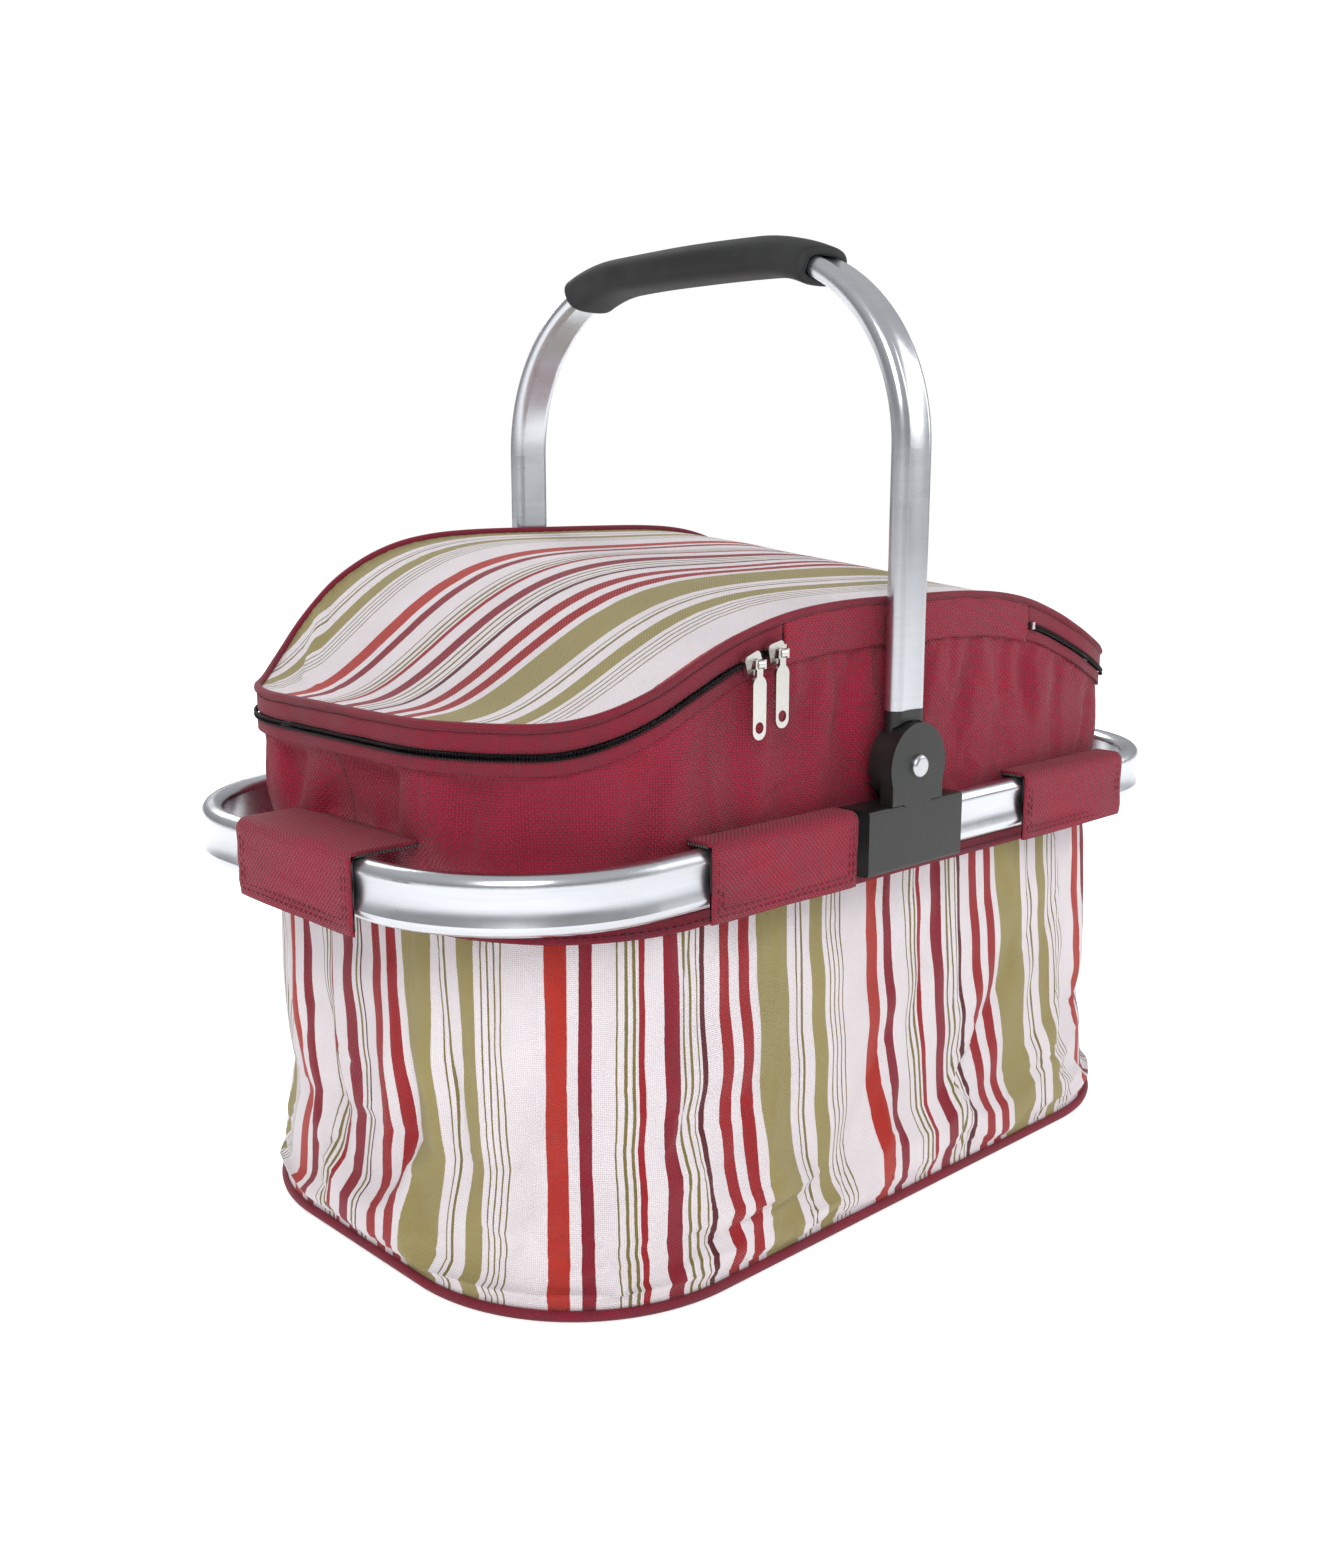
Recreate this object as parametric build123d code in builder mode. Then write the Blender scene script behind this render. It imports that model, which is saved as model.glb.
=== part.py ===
"""Insulated cooler bag: a soft insulated tub hung in an aluminium rail with a folding carry handle.

Frame: millimetres, origin at the middle of the base where it stands, +X along the long side, +Y to the
far long side (the near side carries the lid's hinge strip), +Z up.
"""
from build123d import *
from math import acos, atan, cos, degrees, pi, radians, sin
import os

os.makedirs("parts", exist_ok=True)

# ---- driving dimensions: aluminium rail round the bag -------------------------------------------
rail_half_length = 238.0      # outside of the rail, along X
rail_half_depth = 130.5       # outside of the rail, along Y
rail_corner = 80.0            # outside corner radius
rail_height = 23.7
rail_thickness = 9.5
rail_wall = 1.4
rail_waist = 1.3              # how far the outer face is drawn in between its two beads
rail_top = 185.0

# ---- driving dimensions: carry handle and its two hinges ----------------------------------------
handle_x = -13.0              # hinge station along the rail
pivot_rise = 18.0             # pivot above the rail's top
handle_half_span = 127.0      # middle of the leg, along Y
handle_apex = 419.0           # middle of the tube at the top
handle_width = 21.0
handle_thickness = 9.0
handle_bend = 83.5            # middle radius of the two bends
handle_turn = 88.0            # degrees turned in each bend; the rest is the top's slow arch
leg_bottom_rise = 23.5        # end of the tube above the pivot
grip_half_length = 78.0       # along Y
grip_height = 17.0
grip_width = 30.0
grip_fit = 0.1

clamp_half_length = 32.0
clamp_wall = 2.2
clamp_inner_wall = 2.4
clamp_front_wall = 5.5
clamp_edge = 1.5
ear_radius = 18.5
ear_gap = 0.3                 # between the fixed ear and the turning disc
disc_radius = 17.0
disc_swing_gap = 0.7
rivet_radius = 3.0
rivet_fit = 0.06
rivet_head_radius = 5.0
rivet_head = 2.2
plug_length = 20.0
plug_fit = 0.1

# ---- driving dimensions: insulated tub ----------------------------------------------------------
base_half_length = 209.0
base_half_depth = 129.0
base_corner = 86.0
seam_level = 158.0            # where the striped side meets the plain neck, just under the rail
wall_half_length = 205.5      # outside of the side at the seam
wall_half_depth = 116.6
wall_corner = 76.0
neck_flare = 8.5               # how far the neck widens at each end up to the lid's crown
skin = 1.2
foam = 6.0
liner = 0.7
ply_gap = 0.1                 # air between two plies that lie on each other
base_skin = 1.2
board = 3.0
floor_foam_height = 5.0
base_piping_radius = 2.2
binding_height = 7.0
binding_gap = 0.3

# ---- driving dimensions: domed lid --------------------------------------------------------------
lid_half_length = 214.0
lid_half_depth = 117.5
lid_corner = 78.0
arch_half_span = 225.0        # the dome's drawing reaches this far, past the lid's ends
arch_end = 235.5              # level of the lid's two flat ends
arch_near_top = 274.0         # crown over the near edge
arch_far_top = 298.0          # crown over the far edge
arch_foot = (190.0, 200.0)    # where the dome meets the flat end, on the near and the far edge
arch_fullness = (1.8, 2.5)    # higher holds the crown's level for longer before it falls
arch_joins = (0.45, 0.76)     # shares of the foot where the dome's arcs meet
lid_foam = 7.0
lid_inset = 2.0               # cover and liner inside the lid's outline
lid_foam_inset = 5.0          # foam pad inside the seam round the lid
piping_half_width = 1.5
piping_drop = 3.5
tape_half = 0.6
upper_tape_drop = (3.8, 11.1)  # below the arch
upper_coil_drop = (11.2, 12.5)
lower_coil_drop = (12.9, 14.2)
lower_tape_drop = (14.3, 19.4)
coil_depth = (0.7, 2.3)       # outside the lid's outline
wall_top_drop = 19.8
hinge_strip_x = (-80.0, 90.0)
hinge_strip_drop = (5.2, 19.6)
strip_end_gap = 0.6

# ---- driving dimensions: zip sliders and pulls --------------------------------------------------
slider_x = (-101.0, -88.0)
slider_travel = (28.0, 3.0)   # down the near edge from there
slider_length = 9.0
slider_height = 8.5
slider_plate = 2.2
slider_gap = 0.5              # from the coil
lug_reach = 3.6
lug_width = 1.2
lug_height = 3.6
pin_radius = 0.8
pin_fit = 0.12
pin_cover = 0.4               # lug in front of the pin
pull_width = 7.4
pull_length = 27.0
pull_thickness = 1.3
pull_neck = 3.4
pull_hole = 2.3
pull_eye_wall = 1.0           # metal round the pin
pull_stem = 2.5               # from the pin down to the blade
pull_hole_rise = 4.8          # middle of the hole above the blade's end

# ---- driving dimensions: fabric flaps over the rail ---------------------------------------------
flap_width = 85.0
flap_near_x = (-90.5, 116.5)
flap_end_y = -8.0             # left end; the right end mirrors it through the middle
flap_fabric = 1.3
flap_lining = 0.8
flap_rail_gap = 0.4
flap_hem = 5.5                # below the rail
flap_root = 2.4               # inside the rail
flap_neck_gap = 1.2           # between an end flap's root and the neck

# ---- worked out ---------------------------------------------------------------------------------
rail_bottom = rail_top - rail_height
rail_middle = rail_top - rail_height / 2
rail_inside = rail_half_depth - rail_thickness
pivot_z = rail_top + pivot_rise
disc_outer_y = handle_half_span + handle_thickness / 2 - 2.5
disc_inner_y = handle_half_span - handle_thickness / 2
ear_inner_y = disc_outer_y + ear_gap
clamp_front_y = rail_half_depth + clamp_front_wall
leg_bottom = pivot_z + leg_bottom_rise
arch_reach = lid_half_depth + 30.0
neck_top_level = arch_far_top
neck_top_half_length = wall_half_length + neck_flare
flap_level = rail_top + flap_rail_gap + flap_lining + ply_gap + flap_fabric
flap_share = (flap_level - seam_level) / (neck_top_level - seam_level)
neck_half_length_at_flap = wall_half_length + neck_flare * flap_share
end_root = rail_half_length - rail_thickness - neck_half_length_at_flap - flap_neck_gap


def between(pair, y):
    """Value at y of something given at the near and the far edge, on the straight line through both."""
    near, far = pair
    return near + (far - near) * (y + lid_half_depth) / (2 * lid_half_depth)


def arch(x, y, drop=0.0):
    """Height of the dome: a flat end, then a half cosine wave up to a crown that rises to the far side."""
    share = min(abs(x) / between(arch_foot, y), 1.0)
    rise = between((arch_near_top, arch_far_top), y) - arch_end
    return arch_end + rise * (1 + cos(pi * share ** between(arch_fullness, y))) / 2 - drop


def under_arch(drop):
    """Everything under the domed surface lowered by drop; the dome is higher at the far side."""
    with BuildPart() as block:
        for y in (-arch_reach, arch_reach):
            foot = between(arch_foot, y)
            end = arch_end - drop
            joins = [foot * share for share in arch_joins] + [foot]
            stations = [-x for x in reversed(joins)] + joins
            with BuildSketch(Plane(origin=(0, y, 0), x_dir=(1, 0, 0), z_dir=(0, -1, 0))):
                with BuildLine():
                    Polyline((-foot, end), (-arch_half_span, end), (-arch_half_span, 0),
                             (arch_half_span, 0), (arch_half_span, end), (foot, end))
                    for first, last in zip(stations, stations[1:]):
                        arc_x = (first, (first + last) / 2, last)
                        ThreePointArc(*[(x, arch(x, y, drop)) for x in arc_x])
                make_face()
        loft(ruled=True)
    return block.part


def bead_section(thickness, height, waist, inset=0.0):
    """Face of the extrusion: two round beads joined by a web whose outer face is drawn in."""
    half = thickness / 2 - inset
    bead = height / 2 - thickness / 2
    with BuildSketch() as section:
        with BuildLine():
            ThreePointArc((-half, bead), (0, bead + half), (half, bead))
            if waist > 0:
                ThreePointArc((half, bead), (half - waist, 0), (half, -bead))
            else:
                Line((half, bead), (half, -bead))
            ThreePointArc((half, -bead), (0, -bead - half), (-half, -bead))
            Line((-half, -bead), (-half, bead))
        make_face()
    return section.sketch


def save(part, name):
    """Label a finished piece and write it."""
    part.label = name
    export_step(part, f"parts/{name}.step")


# ---- aluminium rail, in two halves that butt inside the hinge brackets --------------------------
rail_mid_length = rail_half_length - rail_thickness / 2
rail_mid_depth = rail_half_depth - rail_thickness / 2
rail_mid_corner = rail_corner - rail_thickness / 2
butt_gap = 0.5
for side, name in ((-1, "frame_rail_left"), (1, "frame_rail_right")):
    start_x = handle_x + side * butt_gap / 2
    with BuildPart() as rail:
        with BuildLine() as rail_path:
            FilletPolyline((start_x, -rail_mid_depth, rail_middle),
                           (side * rail_mid_length, -rail_mid_depth, rail_middle),
                           (side * rail_mid_length, rail_mid_depth, rail_middle),
                           (start_x, rail_mid_depth, rail_middle), radius=rail_mid_corner)
        section_plane = Plane(origin=rail_path.line @ 0, x_dir=(0, -1, 0), z_dir=(side, 0, 0))
        with BuildSketch(section_plane) as rail_outer:
            add(bead_section(rail_thickness, rail_height, rail_waist))
        sweep(sections=rail_outer.sketch, path=rail_path.line)
        with BuildSketch(section_plane) as rail_hollow:
            add(bead_section(rail_thickness, rail_height, rail_waist, rail_wall))
        sweep(sections=rail_hollow.sketch, path=rail_path.line, mode=Mode.SUBTRACT)
    save(rail.part, name)

# ---- splice bars that join the two rail halves inside the brackets ------------------------------
splice_half_length = clamp_half_length - 4.0
splice_fit = 0.15
for side, place in ((-1, "near"), (1, "far")):
    with BuildPart() as splice:
        with BuildSketch(Plane(origin=(handle_x - splice_half_length, side * rail_mid_depth, rail_middle),
                               x_dir=(0, side, 0), z_dir=(1, 0, 0))):
            add(bead_section(rail_thickness, rail_height, rail_waist, rail_wall + splice_fit))
        extrude(amount=2 * splice_half_length)
    save(splice.part, f"rail_splice_{place}")

# ---- hinge brackets: a sleeve round the rail with a round ear standing on it --------------------
for side, place in ((-1, "near"), (1, "far")):
    clamp_depth = clamp_front_y - (rail_inside - clamp_inner_wall)
    clamp_middle = (clamp_front_y + rail_inside - clamp_inner_wall) / 2
    with BuildPart() as bracket:
        with Locations((handle_x, side * clamp_middle, rail_middle)):
            Box(2 * clamp_half_length, clamp_depth, rail_height + 2 * clamp_wall)
        fillet(bracket.edges().filter_by(Axis.X), clamp_edge)
        ear_face = Plane(origin=(handle_x, side * ear_inner_y, pivot_z), x_dir=(1, 0, 0),
                         z_dir=(0, side, 0))
        with BuildSketch(ear_face):
            Circle(ear_radius)
            with Locations((0, side * (pivot_rise - clamp_wall) / 2)):
                Rectangle(2 * ear_radius * 0.92, pivot_rise - clamp_wall)
        extrude(amount=clamp_front_y - ear_inner_y)
        with BuildSketch(Plane(origin=(handle_x - clamp_half_length, side * rail_mid_depth, rail_middle),
                               x_dir=(0, side, 0), z_dir=(1, 0, 0))):
            add(bead_section(rail_thickness + 2 * plug_fit, rail_height + 2 * plug_fit, rail_waist))
        extrude(amount=2 * clamp_half_length, mode=Mode.SUBTRACT)
        with BuildSketch(Plane(origin=(handle_x, side * (ear_inner_y - clamp_depth), pivot_z),
                               x_dir=(1, 0, 0), z_dir=(0, side, 0))):
            Circle(disc_radius + disc_swing_gap)
        extrude(amount=clamp_depth, mode=Mode.SUBTRACT)
        with BuildSketch(ear_face):
            Circle(rivet_radius)
        extrude(amount=clamp_front_y - ear_inner_y, mode=Mode.SUBTRACT)
    save(bracket.part, f"hinge_bracket_{place}")

# ---- pivot rivets: a shank through ear and disc, a domed head on the ear ------------------------
rivet_tail = 1.2
for side, place in ((-1, "near"), (1, "far")):
    with BuildPart() as rivet:
        with BuildSketch(Plane(origin=(handle_x, side * (disc_inner_y - ply_gap), pivot_z),
                               x_dir=(1, 0, 0), z_dir=(0, side, 0))):
            Circle(rivet_radius)
        extrude(amount=clamp_front_y - disc_inner_y + ply_gap)
        with BuildSketch(Plane(origin=(handle_x, side * clamp_front_y, pivot_z), x_dir=(1, 0, 0),
                               z_dir=(0, side, 0))):
            Circle(rivet_head_radius)
        extrude(amount=rivet_head)
        fillet(rivet.edges().filter_by(GeomType.CIRCLE).group_by(Axis.Y)[-1 if side > 0 else 0],
               rivet_head * 0.8)
        with BuildSketch(Plane(origin=(handle_x, side * (disc_inner_y - ply_gap - rivet_tail), pivot_z),
                               x_dir=(1, 0, 0), z_dir=(0, side, 0))):
            Circle(rivet_head_radius)
        extrude(amount=rivet_tail)
    save(rivet.part, f"pivot_rivet_{place}")

# ---- carry handle: legs, two bends and a slowly arched top in one bent extrusion ----------------
turn = radians(handle_turn)
arch_radius = (handle_half_span - handle_bend * (1 - cos(turn))) / cos(turn)
leg_top = handle_apex - handle_bend * sin(turn) - arch_radius * (1 - sin(turn))
bend_y = handle_half_span - handle_bend
arch_centre = handle_apex - arch_radius
handle_plane = Plane(origin=(handle_x, 0, 0), x_dir=(0, 1, 0), z_dir=(1, 0, 0))
with BuildPart() as handle:
    with BuildLine(handle_plane) as handle_path:
        Line((-handle_half_span, leg_bottom), (-handle_half_span, leg_top))
        CenterArc((-bend_y, leg_top), handle_bend, 180, -handle_turn)
        CenterArc((0, arch_centre), arch_radius, 180 - handle_turn, 2 * handle_turn - 180)
        CenterArc((bend_y, leg_top), handle_bend, 90 - (90 - handle_turn), -handle_turn)
        Line((handle_half_span, leg_top), (handle_half_span, leg_bottom))
    leg_plane = Plane(origin=(handle_x, -handle_half_span, leg_bottom), x_dir=(0, -1, 0),
                      z_dir=(0, 0, 1))
    with BuildSketch(leg_plane) as handle_outer:
        add(bead_section(handle_thickness, handle_width, rail_waist / 2))
    sweep(sections=handle_outer.sketch, path=handle_path.line)
    with BuildSketch(leg_plane) as handle_hollow:
        add(bead_section(handle_thickness, handle_width, rail_waist / 2, rail_wall))
    sweep(sections=handle_hollow.sketch, path=handle_path.line, mode=Mode.SUBTRACT)
save(handle.part, "handle_tube")

# ---- foam grip round the top of the handle ------------------------------------------------------
grip_start = degrees(acos((grip_half_length - bend_y) / handle_bend))
with BuildPart() as grip:
    with BuildLine(handle_plane) as grip_path:
        CenterArc((-bend_y, leg_top), handle_bend, 180 - grip_start, grip_start - handle_turn)
        CenterArc((0, arch_centre), arch_radius, 180 - handle_turn, 2 * handle_turn - 180)
        CenterArc((bend_y, leg_top), handle_bend, handle_turn, grip_start - handle_turn)
    end_point = grip_path.line @ 0
    end_tangent = grip_path.line % 0
    grip_plane = Plane(origin=end_point, x_dir=(0, -end_tangent.Z, end_tangent.Y), z_dir=end_tangent)
    with BuildSketch(grip_plane) as grip_outer:
        RectangleRounded(grip_height, grip_width, grip_height / 2 - 0.5)
    sweep(sections=grip_outer.sketch, path=grip_path.line)
    with BuildSketch(grip_plane) as grip_bore:
        add(bead_section(handle_thickness + 2 * grip_fit, handle_width + 2 * grip_fit, 0.0))
    sweep(sections=grip_bore.sketch, path=grip_path.line, mode=Mode.SUBTRACT)
save(grip.part, "foam_grip")

# ---- handle sockets: the turning disc, its neck and the plug inside the leg ---------------------
for side, place in ((-1, "near"), (1, "far")):
    with BuildPart() as socket:
        neck_plane = Plane(origin=(handle_x, side * handle_half_span, leg_bottom), x_dir=(0, side, 0),
                           z_dir=(0, 0, 1))
        with BuildSketch(neck_plane):
            add(bead_section(handle_thickness, handle_width, 0.0))
        extrude(amount=-(leg_bottom_rise - 2.0))
        with BuildSketch(Plane(origin=(handle_x, side * disc_outer_y, pivot_z), x_dir=(1, 0, 0),
                               z_dir=(0, side, 0))):
            Circle(ear_radius + disc_swing_gap)
        extrude(amount=handle_thickness, mode=Mode.SUBTRACT)
        with BuildSketch(Plane(origin=(handle_x, side * disc_inner_y, pivot_z), x_dir=(1, 0, 0),
                               z_dir=(0, side, 0))):
            Circle(disc_radius)
        extrude(amount=disc_outer_y - disc_inner_y)
        with BuildSketch(neck_plane):
            add(bead_section(handle_thickness, handle_width, rail_waist / 2, rail_wall + plug_fit))
        extrude(amount=plug_length)
        with BuildSketch(Plane(origin=(handle_x, side * (disc_inner_y - 1), pivot_z), x_dir=(1, 0, 0),
                               z_dir=(0, side, 0))):
            Circle(rivet_radius + rivet_fit)
        extrude(amount=handle_thickness + 2, mode=Mode.SUBTRACT)
    save(socket.part, f"handle_socket_{place}")


# ---- insulated tub ------------------------------------------------------------------------------
def tub_block(inset, bottom, top):
    """Solid filling the tub's outer shape drawn in by inset, from bottom up to top."""
    bottom_share = bottom / seam_level
    low_length = base_half_length + (wall_half_length - base_half_length) * bottom_share
    low_depth = base_half_depth + (wall_half_depth - base_half_depth) * bottom_share
    low_corner = base_corner + (wall_corner - base_corner) * bottom_share
    side_top = min(top, seam_level)
    with BuildPart() as block:
        with BuildSketch(Plane.XY.offset(bottom)):
            RectangleRounded(2 * (low_length - inset), 2 * (low_depth - inset), low_corner - inset)
        with BuildSketch(Plane.XY.offset(side_top)):
            RectangleRounded(2 * (wall_half_length - inset), 2 * (wall_half_depth - inset),
                             wall_corner - inset)
        loft(ruled=True)
        if top > seam_level:
            with BuildSketch(Plane.XY.offset(seam_level)):
                RectangleRounded(2 * (wall_half_length - inset), 2 * (wall_half_depth - inset),
                                 wall_corner - inset)
            with BuildSketch(Plane.XY.offset(neck_top_level)):
                RectangleRounded(2 * (neck_top_half_length - inset), 2 * (wall_half_depth - inset),
                                 wall_corner - inset)
            loft(ruled=True)
    return block.part


board_bottom = base_skin + ply_gap
floor_foam_bottom = board_bottom + board + ply_gap
liner_bottom = floor_foam_bottom + floor_foam_height + ply_gap
side_bottom = 2 * base_piping_radius + ply_gap
foam_inset = skin + ply_gap
liner_inset = foam_inset + foam + ply_gap

with BuildPart() as body_panel:
    add(tub_block(0, side_bottom, seam_level))
    add(tub_block(skin, side_bottom, seam_level), mode=Mode.SUBTRACT)
save(body_panel.part, "body_panel")


def wall_ply(inset, thickness, bottom):
    """One ply of the tub's wall up to the lid's line, open inside."""
    with BuildPart() as ply:
        add(tub_block(inset, bottom, neck_top_level))
        add(tub_block(inset + thickness, bottom, neck_top_level), mode=Mode.SUBTRACT)
        add(under_arch(wall_top_drop), mode=Mode.INTERSECT)
    return ply.part


with BuildPart() as neck_panel:
    add(wall_ply(0, skin, side_bottom))
    with Locations((0, 0, (seam_level + ply_gap) / 2)):
        Box(4 * rail_half_length, 4 * rail_half_depth, seam_level + ply_gap, mode=Mode.SUBTRACT)
save(neck_panel.part, "neck_panel")

wall_foam = wall_ply(foam_inset, foam, floor_foam_bottom)
save(wall_foam, "wall_foam")

with BuildPart() as floor_foam:
    add(tub_block(liner_inset, floor_foam_bottom, floor_foam_bottom + floor_foam_height))
save(floor_foam.part, "floor_foam")

with BuildPart() as inner_liner:
    add(tub_block(liner_inset, liner_bottom, neck_top_level))
    add(tub_block(liner_inset + liner, liner_bottom + liner, neck_top_level), mode=Mode.SUBTRACT)
    add(under_arch(wall_top_drop), mode=Mode.INTERSECT)
save(inner_liner.part, "inner_liner")

with BuildPart() as base_board:
    with BuildSketch(Plane.XY.offset(board_bottom)):
        RectangleRounded(2 * (base_half_length - foam_inset - 2), 2 * (base_half_depth - foam_inset - 2),
                         base_corner - foam_inset - 2)
    extrude(amount=board)
save(base_board.part, "base_board")

with BuildPart() as base_panel:
    with BuildSketch(Plane.XY):
        RectangleRounded(2 * (base_half_length - base_piping_radius - ply_gap),
                         2 * (base_half_depth - base_piping_radius - ply_gap),
                         base_corner - base_piping_radius - ply_gap)
    extrude(amount=base_skin)
save(base_panel.part, "base_panel")

with BuildPart() as base_piping:
    with BuildSketch(Plane.XY.offset(base_piping_radius)) as base_outline:
        RectangleRounded(2 * base_half_length, 2 * base_half_depth, base_corner)
    base_edge = base_outline.sketch.faces()[0].outer_wire()
    with BuildSketch(Plane(origin=base_edge @ 0, z_dir=base_edge % 0)) as piping_round:
        Circle(base_piping_radius)
    sweep(sections=piping_round.sketch, path=base_edge)
save(base_piping.part, "base_piping")


# ---- bands that follow the lid's outline --------------------------------------------------------
def outline_band(inner, outer, high_drop, low_drop):
    """Band from inner to outer of the lid's outline, between two levels below the arch."""
    with BuildPart() as band:
        with BuildSketch(Plane.XY.offset(seam_level)):
            RectangleRounded(2 * (lid_half_length + outer), 2 * (lid_half_depth + outer),
                             lid_corner + outer)
            RectangleRounded(2 * (lid_half_length + inner), 2 * (lid_half_depth + inner),
                             lid_corner + inner, mode=Mode.SUBTRACT)
        extrude(amount=arch_far_top + 20 - seam_level)
        add(under_arch(high_drop), mode=Mode.INTERSECT)
        add(under_arch(low_drop), mode=Mode.SUBTRACT)
    return band.part


def strip_zone(margin):
    """Box round the stretch of the near edge where the fabric hinge takes the zip's place."""
    first, last = hinge_strip_x
    with BuildPart() as zone:
        with Locations(((first + last) / 2, -lid_half_depth, arch_near_top)):
            Box(last - first + 2 * margin, 20, 80)
    return zone.part


def zip_band(inner, outer, drops):
    """A zip piece: it runs all round but stops at the fabric hinge."""
    with BuildPart() as band:
        add(outline_band(inner, outer, *drops))
        add(strip_zone(strip_end_gap), mode=Mode.SUBTRACT)
    return band.part


save(zip_band(-tape_half, tape_half, lower_tape_drop), "zip_tape_lower")
save(zip_band(*coil_depth, lower_coil_drop), "zip_coil_lower")
save(zip_band(-tape_half, tape_half, upper_tape_drop), "zip_tape_upper")
save(zip_band(*coil_depth, upper_coil_drop), "zip_coil_upper")

with BuildPart() as hinge_strip:
    add(outline_band(-tape_half, tape_half, *hinge_strip_drop))
    add(strip_zone(0), mode=Mode.INTERSECT)
save(hinge_strip.part, "hinge_strip")

# ---- binding: the maroon band stitched over the seam under the rail -----------------------------
binding_low = seam_level - binding_height
binding_share = binding_low / seam_level
binding_length = base_half_length + (wall_half_length - base_half_length) * binding_share
binding_depth = base_half_depth + (wall_half_depth - base_half_depth) * binding_share
binding_corner = base_corner + (wall_corner - base_corner) * binding_share + binding_gap
binding_out = binding_gap + skin
with BuildPart() as rail_binding:
    with BuildSketch(Plane.XY.offset(binding_low)):
        RectangleRounded(2 * (binding_length + binding_out), 2 * (binding_depth + binding_out),
                         binding_corner + skin)
        RectangleRounded(2 * (binding_length + binding_gap), 2 * (binding_depth + binding_gap),
                         binding_corner, mode=Mode.SUBTRACT)
    extrude(amount=binding_height)
save(rail_binding.part, "rail_binding")

# ---- domed lid: cover, foam, liner and piping ---------------------------------------------------
def lid_ply(inset, high_drop, low_drop):
    """One ply of the lid, inset from the lid's outline."""
    with BuildPart() as ply:
        with BuildSketch(Plane.XY.offset(seam_level)):
            RectangleRounded(2 * (lid_half_length - inset), 2 * (lid_half_depth - inset),
                             lid_corner - inset)
        extrude(amount=arch_far_top + 20 - seam_level)
        add(under_arch(high_drop), mode=Mode.INTERSECT)
        add(under_arch(low_drop), mode=Mode.SUBTRACT)
    return ply.part


foam_drop = skin + ply_gap
lid_liner_drop = foam_drop + lid_foam + ply_gap
save(lid_ply(lid_inset, 0, skin), "lid_cover")
save(lid_ply(lid_foam_inset, foam_drop, foam_drop + lid_foam), "lid_foam")
save(lid_ply(lid_inset, lid_liner_drop, lid_liner_drop + liner), "lid_liner")
save(outline_band(-piping_half_width, piping_half_width, 0, piping_drop), "lid_piping")


# ---- zip sliders with their pulls ---------------------------------------------------------------
def zip_slope(x, travel):
    """Slope in degrees of the straight run from x back down the near edge, travel long."""
    return degrees(atan((arch(x, -lid_half_depth) - arch(x - travel, -lid_half_depth)) / travel))


coil_face = lid_half_depth + coil_depth[1]
plate_back = coil_face + slider_gap
plate_front = plate_back + slider_plate
pin_y = plate_front + lug_reach - pin_radius - pin_cover
pull_eye = pin_radius + pin_fit + pull_eye_wall
coil_drop = (upper_coil_drop[1] + lower_coil_drop[0]) / 2
for x, travel, name in zip(slider_x, slider_travel, ("left", "right")):
    slope = zip_slope(x, travel)
    coil_z = arch(x, -lid_half_depth, coil_drop)
    front = Plane(origin=(x, -plate_back, coil_z), x_dir=(cos(radians(slope)), 0, sin(radians(slope))),
                  z_dir=(0, -1, 0))
    with BuildPart() as slider:
        with BuildSketch(front):
            RectangleRounded(slider_length, slider_height, 2.0)
        extrude(amount=slider_plate)
        lug_span = pull_neck + 2 * pin_fit + 2 * lug_width
        with BuildSketch(Plane(origin=(x, -plate_front, coil_z), x_dir=(1, 0, 0), z_dir=(0, -1, 0))):
            with Locations((-(lug_span - lug_width) / 2, 0), ((lug_span - lug_width) / 2, 0)):
                Rectangle(lug_width, lug_height)
        extrude(amount=lug_reach)
        with BuildSketch(Plane(origin=(x - lug_span / 2, -pin_y, coil_z), z_dir=(1, 0, 0))):
            Circle(pin_radius)
        extrude(amount=lug_span)
    save(slider.part, f"zip_slider_{name}")
    with BuildPart() as pull:
        with BuildSketch(Plane(origin=(x, -pin_y + pull_thickness / 2, coil_z), x_dir=(1, 0, 0),
                               z_dir=(0, -1, 0))) as blade:
            blade_length = pull_length - pull_eye
            blade_middle = -pull_stem - pull_eye - blade_length / 2
            with Locations((0, blade_middle)):
                SlotOverall(blade_length, pull_width, rotation=90)
            with Locations((0, -pull_stem - pull_eye / 2)):
                Rectangle(pull_neck, 2 * (pull_stem + pull_eye / 2))
            with Locations((0, blade_middle - blade_length / 2 + pull_hole_rise)):
                Circle(pull_hole, mode=Mode.SUBTRACT)
        extrude(amount=pull_thickness)
        with BuildSketch(Plane(origin=(x - pull_neck / 2, -pin_y, coil_z), z_dir=(1, 0, 0))):
            Circle(pull_eye)
        extrude(amount=pull_neck)
        with BuildSketch(Plane(origin=(x - pull_width, -pin_y, coil_z), z_dir=(1, 0, 0))):
            Circle(pin_radius + pin_fit)
        extrude(amount=2 * pull_width, mode=Mode.SUBTRACT)
    save(pull.part, f"zip_pull_{name}")
for x, travel in zip(slider_x, slider_travel):
    pivot = (x, round(-pin_y, 3), round(arch(x, -lid_half_depth, coil_drop), 3))
    print("pull pivot", pivot, "slope", round(zip_slope(x, travel), 3))

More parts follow.
